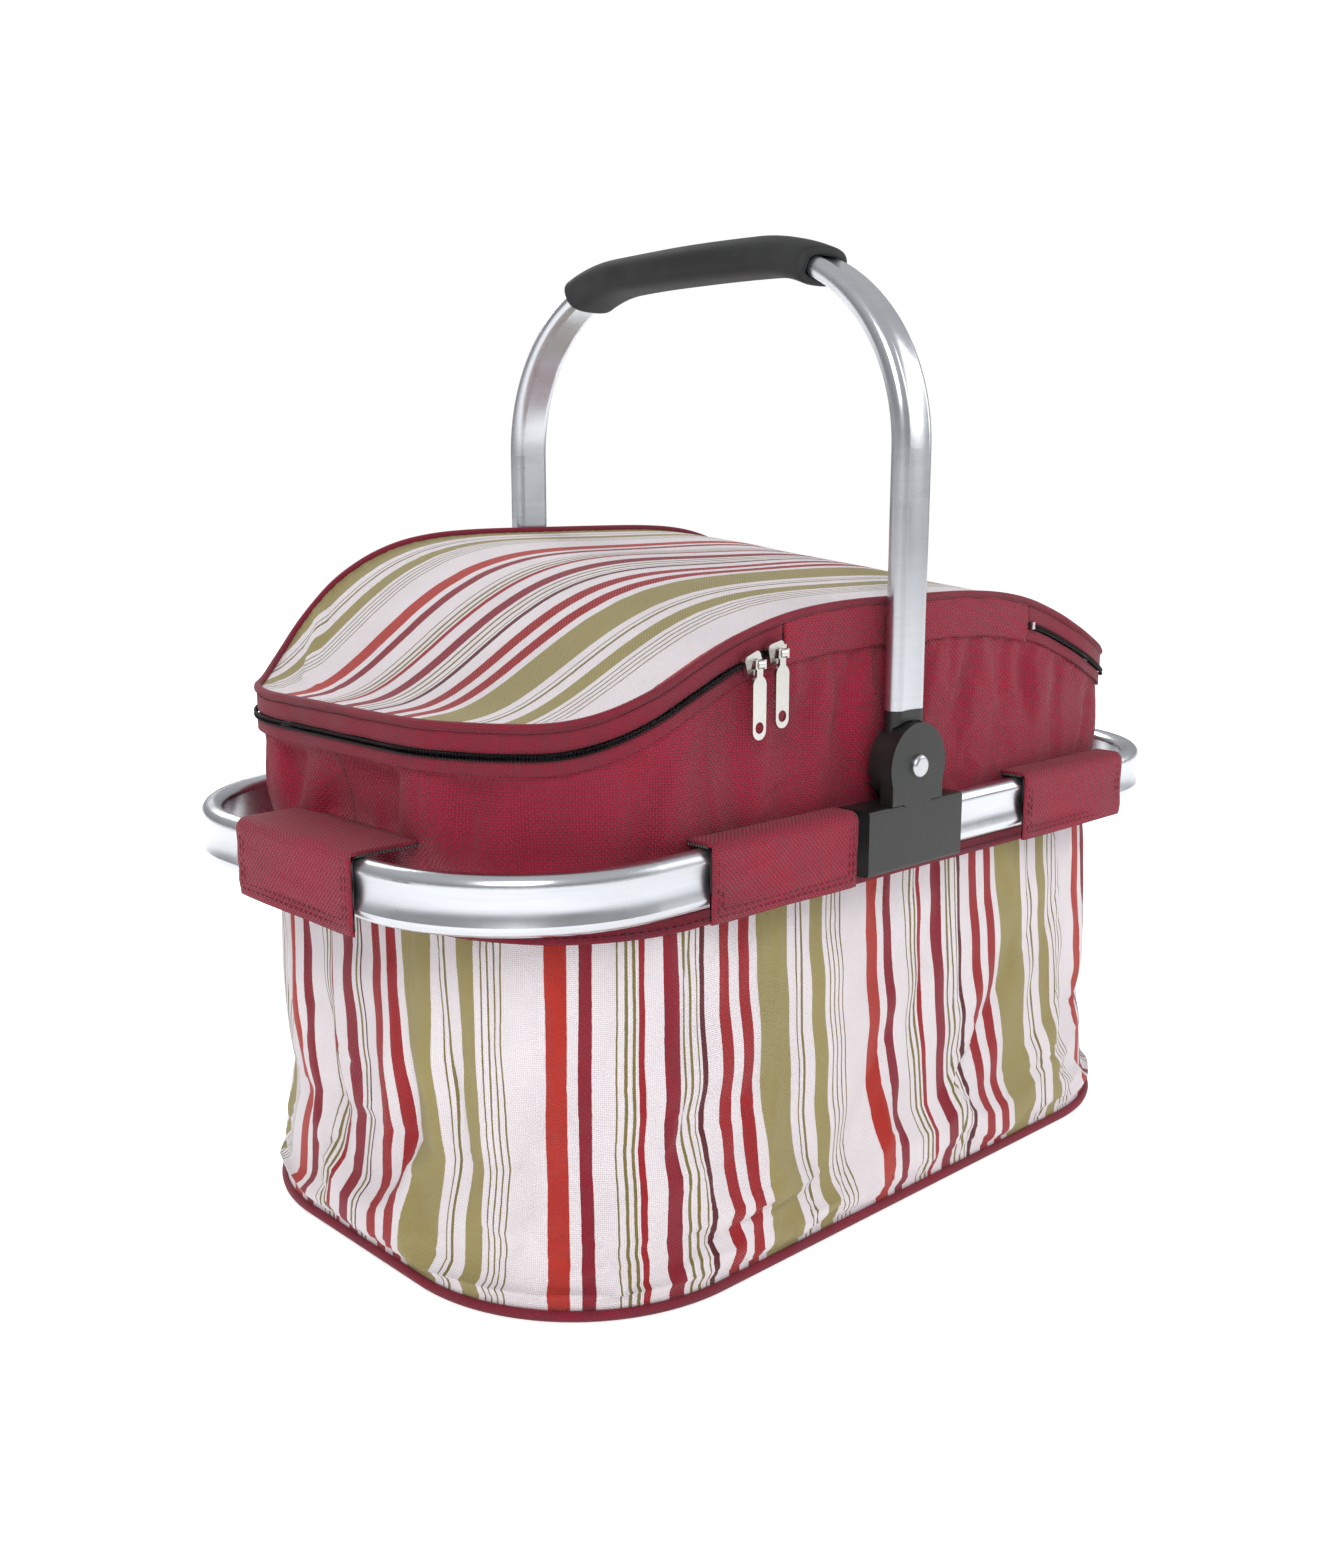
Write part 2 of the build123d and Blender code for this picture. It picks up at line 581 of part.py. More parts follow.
# ---- end stops that close the coil beside the fabric hinge --------------------------------------
stop_length = 2.0
stop_depth = 1.2
stop_gap = 0.05
stop_drop = (upper_coil_drop[0] + lower_coil_drop[1]) / 2
with BuildPart() as zip_stops:
    for x in (hinge_strip_x[0] - 2 * strip_end_gap - stop_length / 2,
              hinge_strip_x[1] + 2 * strip_end_gap + stop_length / 2):
        with Locations((x, -coil_face - stop_gap - stop_depth / 2, arch(x, -lid_half_depth, stop_drop))):
            Box(stop_length, stop_depth, 3.4)
save(zip_stops.part, "zip_stops")


# ---- fabric flaps that wrap the rail ------------------------------------------------------------
def flap_profile(root, grow, thickness, bottom):
    """Hook shape over the rail: a strip across its top and a panel down its outer face."""
    top = rail_top + flap_rail_gap + grow
    face = rail_thickness + flap_rail_gap + grow
    with BuildSketch() as hook:
        with BuildLine():
            Polyline((-root, top), (face, top), (face, bottom), (face + thickness, bottom),
                     (face + thickness, top + thickness), (-root, top + thickness), close=True)
        make_face()
    return hook.sketch


flap_places = [
    ("near_left", flap_near_x[0], -rail_inside, (0, -1, 0), flap_root),
    ("near_right", flap_near_x[1], -rail_inside, (0, -1, 0), flap_root),
    ("far_right", -flap_near_x[0], rail_inside, (0, 1, 0), flap_root),
    ("far_left", -flap_near_x[1], rail_inside, (0, 1, 0), flap_root),
    ("left_end", -(rail_half_length - rail_thickness), flap_end_y, (-1, 0, 0), end_root),
    ("right_end", rail_half_length - rail_thickness, -flap_end_y, (1, 0, 0), end_root),
]
for name, x, y, outward, root in flap_places:
    along = Vector(*outward).cross(Vector(0, 0, 1))
    start = Vector(x, y, 0) - along * (flap_width / 2)
    profile_plane = Plane(origin=start, x_dir=outward, z_dir=along)
    for suffix, grow, thickness, hem in (("", flap_lining + ply_gap, flap_fabric, flap_hem),
                                         ("_hook_tape", 0.0, flap_lining, flap_hem - 1.5)):
        with BuildPart() as flap:
            with BuildSketch(profile_plane):
                add(flap_profile(root, grow, thickness, rail_bottom - hem))
            extrude(amount=flap_width)
        save(flap.part, f"rail_flap_{name}{suffix}")

print("flap pivots: y", round(rail_inside - flap_root, 3), "z", round(flap_level, 3),
      "x", round(rail_half_length - rail_thickness - end_root, 3))
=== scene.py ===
# %% [markdown]
# # Insulated cooler bag
# A soft insulated tub hangs in an oval aluminium rail. A bail handle folds over a domed zip lid.
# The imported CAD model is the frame: metal and plastic keep their CAD shape and get a finish here,
# and nearly every fabric ply is built again as sewn, wrinkled cloth in the space its CAD solid holds. The
# cloth under the base and the black hook tapes keep their CAD shape too.

import bpy
import numpy as np
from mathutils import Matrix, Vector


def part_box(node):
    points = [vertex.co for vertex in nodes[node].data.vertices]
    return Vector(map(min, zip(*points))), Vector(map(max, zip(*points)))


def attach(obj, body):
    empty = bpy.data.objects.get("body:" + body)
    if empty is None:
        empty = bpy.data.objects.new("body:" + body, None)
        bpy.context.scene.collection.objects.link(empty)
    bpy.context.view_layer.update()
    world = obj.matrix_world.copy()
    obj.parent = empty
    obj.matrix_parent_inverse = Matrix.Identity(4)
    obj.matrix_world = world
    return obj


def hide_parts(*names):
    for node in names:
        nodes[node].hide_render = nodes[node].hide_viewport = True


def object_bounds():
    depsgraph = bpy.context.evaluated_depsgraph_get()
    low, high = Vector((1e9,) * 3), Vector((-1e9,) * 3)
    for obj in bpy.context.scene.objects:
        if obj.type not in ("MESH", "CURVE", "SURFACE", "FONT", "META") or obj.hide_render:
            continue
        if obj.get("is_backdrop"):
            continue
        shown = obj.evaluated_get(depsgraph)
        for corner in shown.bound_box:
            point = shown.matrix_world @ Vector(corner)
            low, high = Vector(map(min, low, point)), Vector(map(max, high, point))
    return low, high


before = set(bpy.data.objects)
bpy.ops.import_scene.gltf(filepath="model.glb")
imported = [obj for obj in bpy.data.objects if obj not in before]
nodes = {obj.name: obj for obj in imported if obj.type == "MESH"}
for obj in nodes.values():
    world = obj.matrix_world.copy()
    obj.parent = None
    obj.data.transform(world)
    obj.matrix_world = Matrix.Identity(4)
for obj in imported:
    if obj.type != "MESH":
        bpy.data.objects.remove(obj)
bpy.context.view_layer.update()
mm = 0.001


# %% [markdown]
# Each size starts from the CAD boxes, so a piece goes where its solid is. The few values typed here are
# corner radii and the dome's curve, which a box can't tell.

# %% Sizes read from the frame
def half_size(node):
    """Half of a node's length and depth, in metres."""
    low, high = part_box(node)
    return (high.x - low.x) / 2, (high.y - low.y) / 2


piping_half = half_size("lid_piping")
piping_proud = 1.5 * mm
lid_half = (piping_half[0] - piping_proud, piping_half[1] - piping_proud)
lid_corner = 78 * mm
base_half = (209 * mm, 129 * mm)
base_corner = 86 * mm
seam_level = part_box("body_panel")[1].z
wall_half = (205.5 * mm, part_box("neck_panel")[1].y)
wall_corner = 76 * mm
neck_flare = 8.5 * mm
dome_end = 235.5 * mm
dome_top = (274 * mm, 298 * mm)
dome_foot = (190 * mm, 200 * mm)
dome_fullness = (1.8, 2.5)
tape_upper_drop = (3.8 * mm, 11.1 * mm)
tape_lower_drop = (14.3 * mm, 19.4 * mm)
coil_upper_drop = 11.85 * mm
coil_lower_drop = 13.55 * mm
strip_x = (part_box("hinge_strip")[0].x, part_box("hinge_strip")[1].x)
rail_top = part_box("frame_rail_left")[1].z
rail_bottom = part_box("frame_rail_left")[0].z
print("seam", round(seam_level * 1000, 1), "rail", round(rail_bottom * 1000, 1), round(rail_top * 1000, 1))


# %% [markdown]
# The tub, lid, zip and piping all follow rounded rectangles. One function walks round such an outline at
# even steps and gives the outward direction with each point, so every band and seam can share it.

# %% Outline and dome
def outline(half, corner, share):
    """Rounded rectangle walked from the middle of the left end towards the near side. share is 0 to 1 of
    the way round. Returns points (n, 2) and outward directions (n, 2)."""
    run_x, run_y = half[0] - corner, half[1] - corner
    quarter = np.pi / 2 * corner
    lengths = np.array([run_y, quarter, 2 * run_x, quarter, 2 * run_y, quarter, 2 * run_x, quarter, run_y])
    ends = np.concatenate([[0], np.cumsum(lengths)])
    s = (share % 1.0) * ends[-1]
    leg = np.clip(np.searchsorted(ends, s, side="right") - 1, 0, 8)
    part = (s - ends[leg]) / lengths[leg]
    turn = np.array([0, 0, 1, 1, 2, 2, 3, 3, 4])[leg] * np.pi / 2 + np.where(leg % 2 == 1,
                                                                             part * np.pi / 2, 0)
    out = np.stack([-np.cos(turn), -np.sin(turn)], -1)
    centre_x = np.array([-1, -1, -1, 1, 1, 1, 1, -1, -1])[leg] * run_x
    centre_x = np.where(leg == 2, -run_x + part * 2 * run_x, centre_x)
    centre_x = np.where(leg == 6, run_x - part * 2 * run_x, centre_x)
    centre_y = np.array([-1, -1, -1, -1, 1, 1, 1, 1, 1])[leg] * run_y
    centre_y = np.where(leg == 0, -part * run_y, centre_y)
    centre_y = np.where(leg == 4, -run_y + part * 2 * run_y, centre_y)
    centre_y = np.where(leg == 8, run_y - part * run_y, centre_y)
    return np.stack([centre_x, centre_y], -1) + corner * out, out


def outline_length(half, corner):
    """Length once round: four straight runs and one full circle."""
    return 4 * (half[0] + half[1] - 2 * corner) + 2 * np.pi * corner


def dome(x, y):
    """Height of the lid: a flat end, then a half cosine wave up to a crown that rises to the far side."""
    across = (y + lid_half[1]) / (2 * lid_half[1])
    foot = dome_foot[0] + (dome_foot[1] - dome_foot[0]) * across
    fullness = dome_fullness[0] + (dome_fullness[1] - dome_fullness[0]) * across
    rise = dome_top[0] + (dome_top[1] - dome_top[0]) * across - dome_end
    share = np.minimum(np.abs(x) / foot, 1.0)
    return dome_end + rise * (1 + np.cos(np.pi * share ** fullness)) / 2


def near_share(x):
    """Share of the way round the lid's outline at which the near edge passes x."""
    before = lid_half[1] - lid_corner + np.pi / 2 * lid_corner
    return (before + x + lid_half[0] - lid_corner) / outline_length(lid_half, lid_corner)


print("lid outline, mm:", round(1000 * outline_length(lid_half, lid_corner)))


# %% [markdown]
# Smooth random relief gives cloth its unevenness. A sum of a few seeded waves is cheap, has no seams on a
# loop when each wave fits a whole number of times, and comes out the same on every run.

# %% Seeded waves
def waves(round_share, height, seed, low, high, count=9):
    """Sum of count cosine waves with whole numbers of turns round the loop, scaled to about -1 to 1."""
    rng = np.random.default_rng(seed)
    turns = rng.integers(low, high, count)
    rises = rng.uniform(-1, 1, count) * high * 0.8
    phases = rng.uniform(0, 2 * np.pi, count)
    total = np.zeros(np.broadcast(round_share, height).shape)
    for turn, rise, phase in zip(turns, rises, phases):
        total = total + np.cos(2 * np.pi * turn * round_share + rise * height + phase)
    return total / np.sqrt(count / 2) / 1.8


# %% [markdown]
# Two ways to fill a mesh cover all the cloth here: a grid of points, and a closed section carried along a
# path. Both build their faces as whole arrays.

# %% Mesh builders
def make_piece(name, points, faces, body, material, uv=None, smooth=True):
    """Puts points (n, 3) and faces (lists of corners) into a mesh that rides on body."""
    mesh = bpy.data.meshes.new(name)
    mesh.from_pydata(points.tolist(), [], faces)
    if uv is not None:
        layer = mesh.uv_layers.new(name="cloth")
        corners = np.zeros(len(mesh.loops), np.int32)
        mesh.loops.foreach_get("vertex_index", corners)
        layer.data.foreach_set("uv", uv[corners].astype(np.float32).ravel())
    mesh.polygons.foreach_set("use_smooth", np.full(len(mesh.polygons), smooth))
    mesh.update()
    piece = bpy.data.objects.new(name, mesh)
    bpy.context.scene.collection.objects.link(piece)
    piece.data.materials.append(material)
    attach(piece, body)
    return piece


def grid_faces(rows, columns, wrap_rows=False, wrap_columns=False, offset=0, flip=False):
    """Four-cornered faces of a rows by columns grid, closed on itself where asked."""
    i = np.arange(rows if wrap_rows else rows - 1)[:, None]
    j = np.arange(columns if wrap_columns else columns - 1)[None, :]
    up, along = (i + 1) % rows, (j + 1) % columns
    quads = np.stack([i * columns + j, i * columns + along, up * columns + along, up * columns + j], -1)
    quads = quads.reshape(-1, 4) + offset
    return quads[:, ::-1] if flip else quads


def sweep(name, path, side, up, section, body, material, closed=False):
    """Closed section (k, 2) carried along path (n, 3): first number along side, second along up."""
    count, corners = len(path), len(section)
    points = (path[:, None] + section[None, :, :1] * side[:, None] + section[None, :, 1:] * up[:, None])
    faces = grid_faces(count, corners, closed, True).tolist()
    if not closed:
        faces += [list(range(corners))[::-1], [(count - 1) * corners + k for k in range(corners)]]
    along = np.concatenate([[0], np.cumsum(np.linalg.norm(np.diff(path, axis=0), axis=1))])
    around = np.concatenate([[0], np.cumsum(np.linalg.norm(np.diff(section, axis=0), axis=1))])
    uv = np.stack(np.broadcast_arrays(along[:, None], around[None, :]), -1).reshape(-1, 2)
    return turned_out(make_piece(name, points.reshape(-1, 3), faces, body, material, uv))


def turned_out(piece):
    """Reverses every face if the closed mesh encloses a negative volume, so that faces point outwards."""
    mesh = piece.data
    mesh.calc_loop_triangles()
    co = np.zeros(len(mesh.vertices) * 3)
    mesh.vertices.foreach_get("co", co)
    co = co.reshape(-1, 3)
    tri = np.zeros(len(mesh.loop_triangles) * 3, np.int32)
    mesh.loop_triangles.foreach_get("vertices", tri)
    a, b, c = (co[tri.reshape(-1, 3)[:, k]] for k in range(3))
    if np.einsum("ij,ij->i", a, np.cross(b, c)).sum() < 0:
        mesh.flip_normals()
    return piece


def round_section(width, height, corners):
    """Oval section of corners points."""
    t = np.arange(corners) / corners * 2 * np.pi
    return np.stack([np.cos(t) * width / 2, np.sin(t) * height / 2], -1)


def flat_section(inner, outer, low, high, steps=6):
    """Thin rectangle, stepped along its height so that it can bend."""
    rise = np.linspace(low, high, steps)
    right = np.stack([np.full(steps, outer), rise], -1)
    return np.concatenate([right, np.stack([np.full(steps, inner), rise[::-1]], -1)])


def lid_path(first, last, count, drop):
    """Points, outward and upward directions along the lid's edge between two shares of the outline."""
    xy, out = outline(lid_half, lid_corner, np.linspace(first, last, count))
    path = np.concatenate([xy, (dome(xy[:, 0], xy[:, 1]) - drop)[:, None]], 1)
    outward = np.concatenate([out, np.zeros((count, 1))], 1)
    return path, outward, np.tile([0.0, 0.0, 1.0], (count, 1))


# %% [markdown]
# Topstitching reads as sewn only if each stitch is a small raised thread. A stitch is a short spindle with
# a few faces, and a whole row is made by placing one template at every step along a line.

# %% Stitches
stitch_length = 2.6 * mm
stitch_gap = 1.1 * mm
stitch_width = 0.55 * mm


def stitch_row(name, line, normal, body, material):
    """Spindles laid end to end along line (n, 3), raised along normal (n, 3)."""
    steps = np.linalg.norm(np.diff(line, axis=0), axis=1)
    travel = np.concatenate([[0], np.cumsum(steps)])
    count = max(int(travel[-1] / (stitch_length + stitch_gap)), 1)
    starts = (np.arange(count) + 0.1) * (stitch_length + stitch_gap)
    head, tail = (np.stack([np.interp(s, travel, line[:, k]) for k in range(3)], -1)
                  for s in (starts, starts + stitch_length))
    lift = np.stack([np.interp(starts, travel, normal[:, k]) for k in range(3)], -1)
    lift /= np.linalg.norm(lift, axis=1)[:, None]
    ahead = tail - head
    across = np.cross(ahead, lift)
    across /= np.linalg.norm(across, axis=1)[:, None]
    rings, sides = 4, 6
    t = np.linspace(0, 1, rings)
    fat = np.array([0.35, 1.0, 1.0, 0.35]) * stitch_width / 2
    turn = np.arange(sides) / sides * 2 * np.pi
    points = (head[:, None, None] + t[None, :, None, None] * ahead[:, None, None]
              + fat[None, :, None, None] * (np.cos(turn)[None, None, :, None] * across[:, None, None]
                                            + np.sin(turn)[None, None, :, None] * lift[:, None, None]))
    one = grid_faces(rings, sides, False, True)
    size = rings * sides
    faces = (one[None] + np.arange(count)[:, None, None] * size).reshape(-1, 4).tolist()
    for first in range(0, count * size, size):
        faces.append(list(range(first, first + sides))[::-1])
        faces.append(list(range(first + size - sides, first + size)))
    return turned_out(make_piece(name, points.reshape(-1, 3), faces, body, material))


# %% [markdown]
# ## Finishes
# Three effects are shared by several materials, so each is a node group built once: a woven surface, an
# uneven tone such as handling and dust leave, and a fine grain. A group gives values that vary over the
# surface, and each material decides how strongly to use them.

# %% Node helpers
def srgb(red, green, blue):
    """A colour given as 0 to 255 display values, as the linear values that shaders use."""
    c = np.array([red, green, blue]) / 255
    linear = np.where(c <= 0.04045, c / 12.92, ((c + 0.055) / 1.055) ** 2.4)
    return (*linear.tolist(), 1.0)


def new_group(name, inputs, outputs):
    """Node group with named sockets. inputs are (name, type, value) and outputs (name, type)."""
    group = bpy.data.node_groups.new(name, "ShaderNodeTree")
    for label, kind, value in inputs:
        socket = group.interface.new_socket(label, in_out="INPUT", socket_type=kind)
        if value is not None:
            socket.default_value = value
    for label, kind in outputs:
        group.interface.new_socket(label, in_out="OUTPUT", socket_type=kind)
    return group, group.nodes.new("NodeGroupInput"), group.nodes.new("NodeGroupOutput")


def math(tree, operation, first, second=None):
    """Math node on two links or numbers; returns its output."""
    node = tree.nodes.new("ShaderNodeMath")
    node.operation = operation
    for socket, value in zip(node.inputs, (first, second)):
        if isinstance(value, (int, float)):
            socket.default_value = value
        elif value is not None:
            tree.links.new(value, socket)
    return node.outputs[0]


# %% Shared effects
def woven_group():
    """Over and under threads: each square shows one rounded thread, turned from one square to the next."""
    group, given, result = new_group("Woven threads", [("Vector", "NodeSocketVector", None),
                                                       ("Pitch", "NodeSocketFloat", 0.0008)],
                                     [("Height", "NodeSocketFloat"), ("Thread", "NodeSocketFloat")])
    split = group.nodes.new("ShaderNodeSeparateXYZ")
    group.links.new(given.outputs["Vector"], split.inputs[0])
    along, across = (math(group, "DIVIDE", split.outputs[k], given.outputs["Pitch"]) for k in (0, 1))
    crowns = [math(group, "ABSOLUTE", math(group, "SINE", math(group, "MULTIPLY", v, float(np.pi))))
              for v in (along, across)]
    squares = math(group, "ADD", math(group, "FLOOR", along), math(group, "FLOOR", across))
    over = math(group, "ABSOLUTE", math(group, "MODULO", squares, 2.0))
    first = math(group, "MULTIPLY", crowns[0], over)
    second = math(group, "MULTIPLY", crowns[1], math(group, "SUBTRACT", 1.0, over))
    group.links.new(math(group, "ADD", first, second), result.inputs["Height"])
    group.links.new(over, result.inputs["Thread"])
    return group


def tone_group():
    """Soft uneven tone at one scale: noise spread to 0 to 1."""
    group, given, result = new_group("Uneven tone", [("Vector", "NodeSocketVector", None),
                                                     ("Scale", "NodeSocketFloat", 40.0)],
                                     [("Tone", "NodeSocketFloat")])
    noise = group.nodes.new("ShaderNodeTexNoise")
    noise.inputs["Detail"].default_value = 5
    group.links.new(given.outputs["Vector"], noise.inputs["Vector"])
    group.links.new(given.outputs["Scale"], noise.inputs["Scale"])
    group.links.new(noise.outputs[0], result.inputs["Tone"])
    return group


def grain_group():
    """Fine grain stretched along one axis: drawn metal with a long stretch, moulded plastic with none."""
    group, given, result = new_group("Fine grain", [("Vector", "NodeSocketVector", None),
                                                    ("Stretch", "NodeSocketVector", (1, 1, 1)),
                                                    ("Scale", "NodeSocketFloat", 900.0)],
                                     [("Grain", "NodeSocketFloat")])
    stretch = group.nodes.new("ShaderNodeVectorMath")
    stretch.operation = "MULTIPLY"
    noise = group.nodes.new("ShaderNodeTexNoise")
    noise.inputs["Detail"].default_value = 3
    group.links.new(given.outputs["Vector"], stretch.inputs[0])
    group.links.new(given.outputs["Stretch"], stretch.inputs[1])
    group.links.new(stretch.outputs[0], noise.inputs["Vector"])
    group.links.new(given.outputs["Scale"], noise.inputs["Scale"])
    group.links.new(noise.outputs[0], result.inputs["Grain"])
    return group


woven, uneven, grained = woven_group(), tone_group(), grain_group()
print("shared effects:", woven.name, uneven.name, grained.name)


# %% [markdown]
# A finish is made by a short function: it sets the plain values on the shader's own sockets, then links
# what varies. Cloth reads the piece's own map, so the weave follows the fabric round a fold.

# %% Finish builders
def place(tree, group, **values):
    """Adds a shared effect to a material, with its own values."""
    node = tree.nodes.new("ShaderNodeGroup")
    node.node_tree = group
    for label, value in values.items():
        socket = node.inputs[label]
        if isinstance(value, bpy.types.NodeSocket):
            tree.links.new(value, socket)
        else:
            socket.default_value = value
    return node


def new_finish(name, metallic=0.0, roughness=0.5, **sockets):
    """Material with its shader, and the coordinates that patterns read."""
    material = bpy.data.materials.new(name)
    material.use_nodes = True
    tree = material.node_tree
    shader = tree.nodes["Principled BSDF"]
    shader.inputs["Metallic"].default_value = metallic
    shader.inputs["Roughness"].default_value = roughness
    for label, value in sockets.items():
        shader.inputs[label.replace("_", " ")].default_value = value
    return material, tree, shader, tree.nodes.new("ShaderNodeTexCoord")


def mix_colour(tree, share, first, second):
    """Colour between two colours or links."""
    node = tree.nodes.new("ShaderNodeMix")
    node.data_type = "RGBA"
    tree.links.new(share, node.inputs[0])
    for socket, value in ((node.inputs[6], first), (node.inputs[7], second)):
        if isinstance(value, bpy.types.NodeSocket):
            tree.links.new(value, socket)
        else:
            socket.default_value = value
    return node.outputs[2]


def spread(tree, value, low, high, first=0.0, last=1.0):
    """Maps low..high onto first..last."""
    node = tree.nodes.new("ShaderNodeMapRange")
    for label, number in (("From Min", low), ("From Max", high), ("To Min", first), ("To Max", last)):
        node.inputs[label].default_value = number
    tree.links.new(value, node.inputs["Value"])
    return node.outputs["Result"]


def raise_surface(tree, shader, height, distance, strength=1.0):
    """Bump from a height of 0 to 1, distance metres deep."""
    bump = tree.nodes.new("ShaderNodeBump")
    bump.inputs["Strength"].default_value = strength
    bump.inputs["Distance"].default_value = distance
    tree.links.new(height, bump.inputs["Height"])
    tree.links.new(bump.outputs[0], shader.inputs["Normal"])


def plain_cloth(name, deep, bright, pitch, relief, mapped=True, sheen=0.08):
    """One-colour woven cloth: threads with a painted highlight on their crowns and painted shade between them,
    and an uneven dye.
    """
    material, tree, shader, where = new_finish(name, roughness=0.78, Sheen_Weight=sheen,
                                               Sheen_Roughness=0.4)
    source = where.outputs["UV" if mapped else "Object"]
    weave = place(tree, woven, Vector=source, Pitch=pitch)
    tone = place(tree, uneven, Vector=where.outputs["Object"], Scale=28.0)
    # Colour: the weave's height paints the thread crowns paler (painted highlight) and the gaps darker (painted
    # shade); the tone adds an uneven dye.
    crown_highlight_and_dye = math(tree, "ADD", math(tree, "MULTIPLY", weave.outputs["Height"], 0.6),
               math(tree, "MULTIPLY", tone.outputs[0], 0.5))
    tree.links.new(mix_colour(tree, spread(tree, crown_highlight_and_dye, 0.2, 0.95), deep, bright),
                   shader.inputs["Base Color"])
    tree.links.new(spread(tree, tone.outputs[0], 0.3, 0.7, 0.68, 0.86), shader.inputs["Roughness"])
    raise_surface(tree, shader, weave.outputs["Height"], relief)
    return material


def drawn_metal(name, colour, roughness, stretch):
    """Satin metal with fine lines along its length and faint handling marks."""
    material, tree, shader, where = new_finish(name, metallic=1.0, roughness=roughness)
    lines = place(tree, grained, Vector=where.outputs["Object"], Stretch=stretch, Scale=700.0)
    marks = place(tree, uneven, Vector=where.outputs["Object"], Scale=18.0)
    tree.links.new(spread(tree, marks.outputs[0], 0.35, 0.65, roughness - 0.05, roughness + 0.09),
                   shader.inputs["Roughness"])
    dim = tuple(0.94 * v for v in colour[:3]) + (1.0,)
    tree.links.new(mix_colour(tree, spread(tree, lines.outputs[0], 0.3, 0.7), dim, colour),
                   shader.inputs["Base Color"])
    raise_surface(tree, shader, lines.outputs[0], 0.00001, 0.3)
    return material


def grained_solid(name, dark, light, roughness, scale, relief):
    """Plastic, foam or board: a fine grain raised a little, rubbed paler in places."""
    material, tree, shader, where = new_finish(name, roughness=roughness)
    grain = place(tree, grained, Vector=where.outputs["Object"], Scale=scale)
    rub = place(tree, uneven, Vector=where.outputs["Object"], Scale=55.0)
    tree.links.new(mix_colour(tree, spread(tree, rub.outputs[0], 0.4, 0.75), dark, light),
                   shader.inputs["Base Color"])
    tree.links.new(spread(tree, rub.outputs[0], 0.3, 0.7, roughness - 0.06, roughness + 0.08),
                   shader.inputs["Roughness"])
    raise_surface(tree, shader, grain.outputs[0], relief)
    return material


# %% [markdown]
# The striped canvas is printed from one repeat of bands, used on both the tub and the lid. The list reads
# like a printer's order: a yarn colour and its width in millimetres. A ramp holds 32 colours at most, so
# the repeat is cut into two ramps and joined with a step.

# %% Striped canvas
cream, olive, rust = srgb(240, 232, 236), srgb(160, 147, 92), srgb(182, 38, 24)
crimson, red, plum = srgb(140, 6, 36), srgb(160, 8, 22), srgb(92, 4, 20)
line_olive = srgb(128, 114, 54)
thin = 0.9
stripe_repeat = [
    (olive, 18.5), (cream, 4.4), (line_olive, thin), (cream, 2.1), (line_olive, thin), (cream, 6.1),
    (olive, 7.8), (cream, 2.6), (line_olive, thin), (cream, 1.7), (line_olive, thin), (cream, 1.7),
    (line_olive, thin), (cream, 1.7), (line_olive, thin), (cream, 16.4), (rust, 9.0), (cream, 4.5),
    (crimson, 5.3), (cream, 8.9), (line_olive, thin), (cream, 2.4), (line_olive, thin), (cream, 2.4),
    (line_olive, thin), (cream, 1.7), (red, 2.3), (cream, 8.1), (crimson, 6.4), (cream, 2.7),
    (line_olive, thin), (cream, 3.0), (line_olive, thin), (cream, 2.7), (line_olive, thin), (cream, 1.1),
    (plum, 2.8), (cream, 7.8), (red, 6.0), (cream, 4.9), (red, 5.8), (cream, 5.0),
]
repeat_length = sum(width for _, width in stripe_repeat)
print("stripe repeat, mm:", round(repeat_length, 1), "bands:", len(stripe_repeat))


def stripe_ramp(tree, position, bands, start):
    """Constant ramp of bands, each beginning where the one before ends."""
    ramp = tree.nodes.new("ShaderNodeValToRGB")
    ramp.color_ramp.interpolation = "CONSTANT"
    places = [start]
    for _, width in bands[:-1]:
        places.append(places[-1] + width / repeat_length)
    stops = ramp.color_ramp.elements
    while len(stops) < len(bands):
        stops.new(0.99)
    for stop, place_at in zip(stops, places):
        stop.position = place_at
    for stop, (colour, _) in zip(stops, bands):
        stop.color = colour
    tree.links.new(position, ramp.inputs[0])
    return ramp.outputs[0], places[-1] + bands[-1][1] / repeat_length


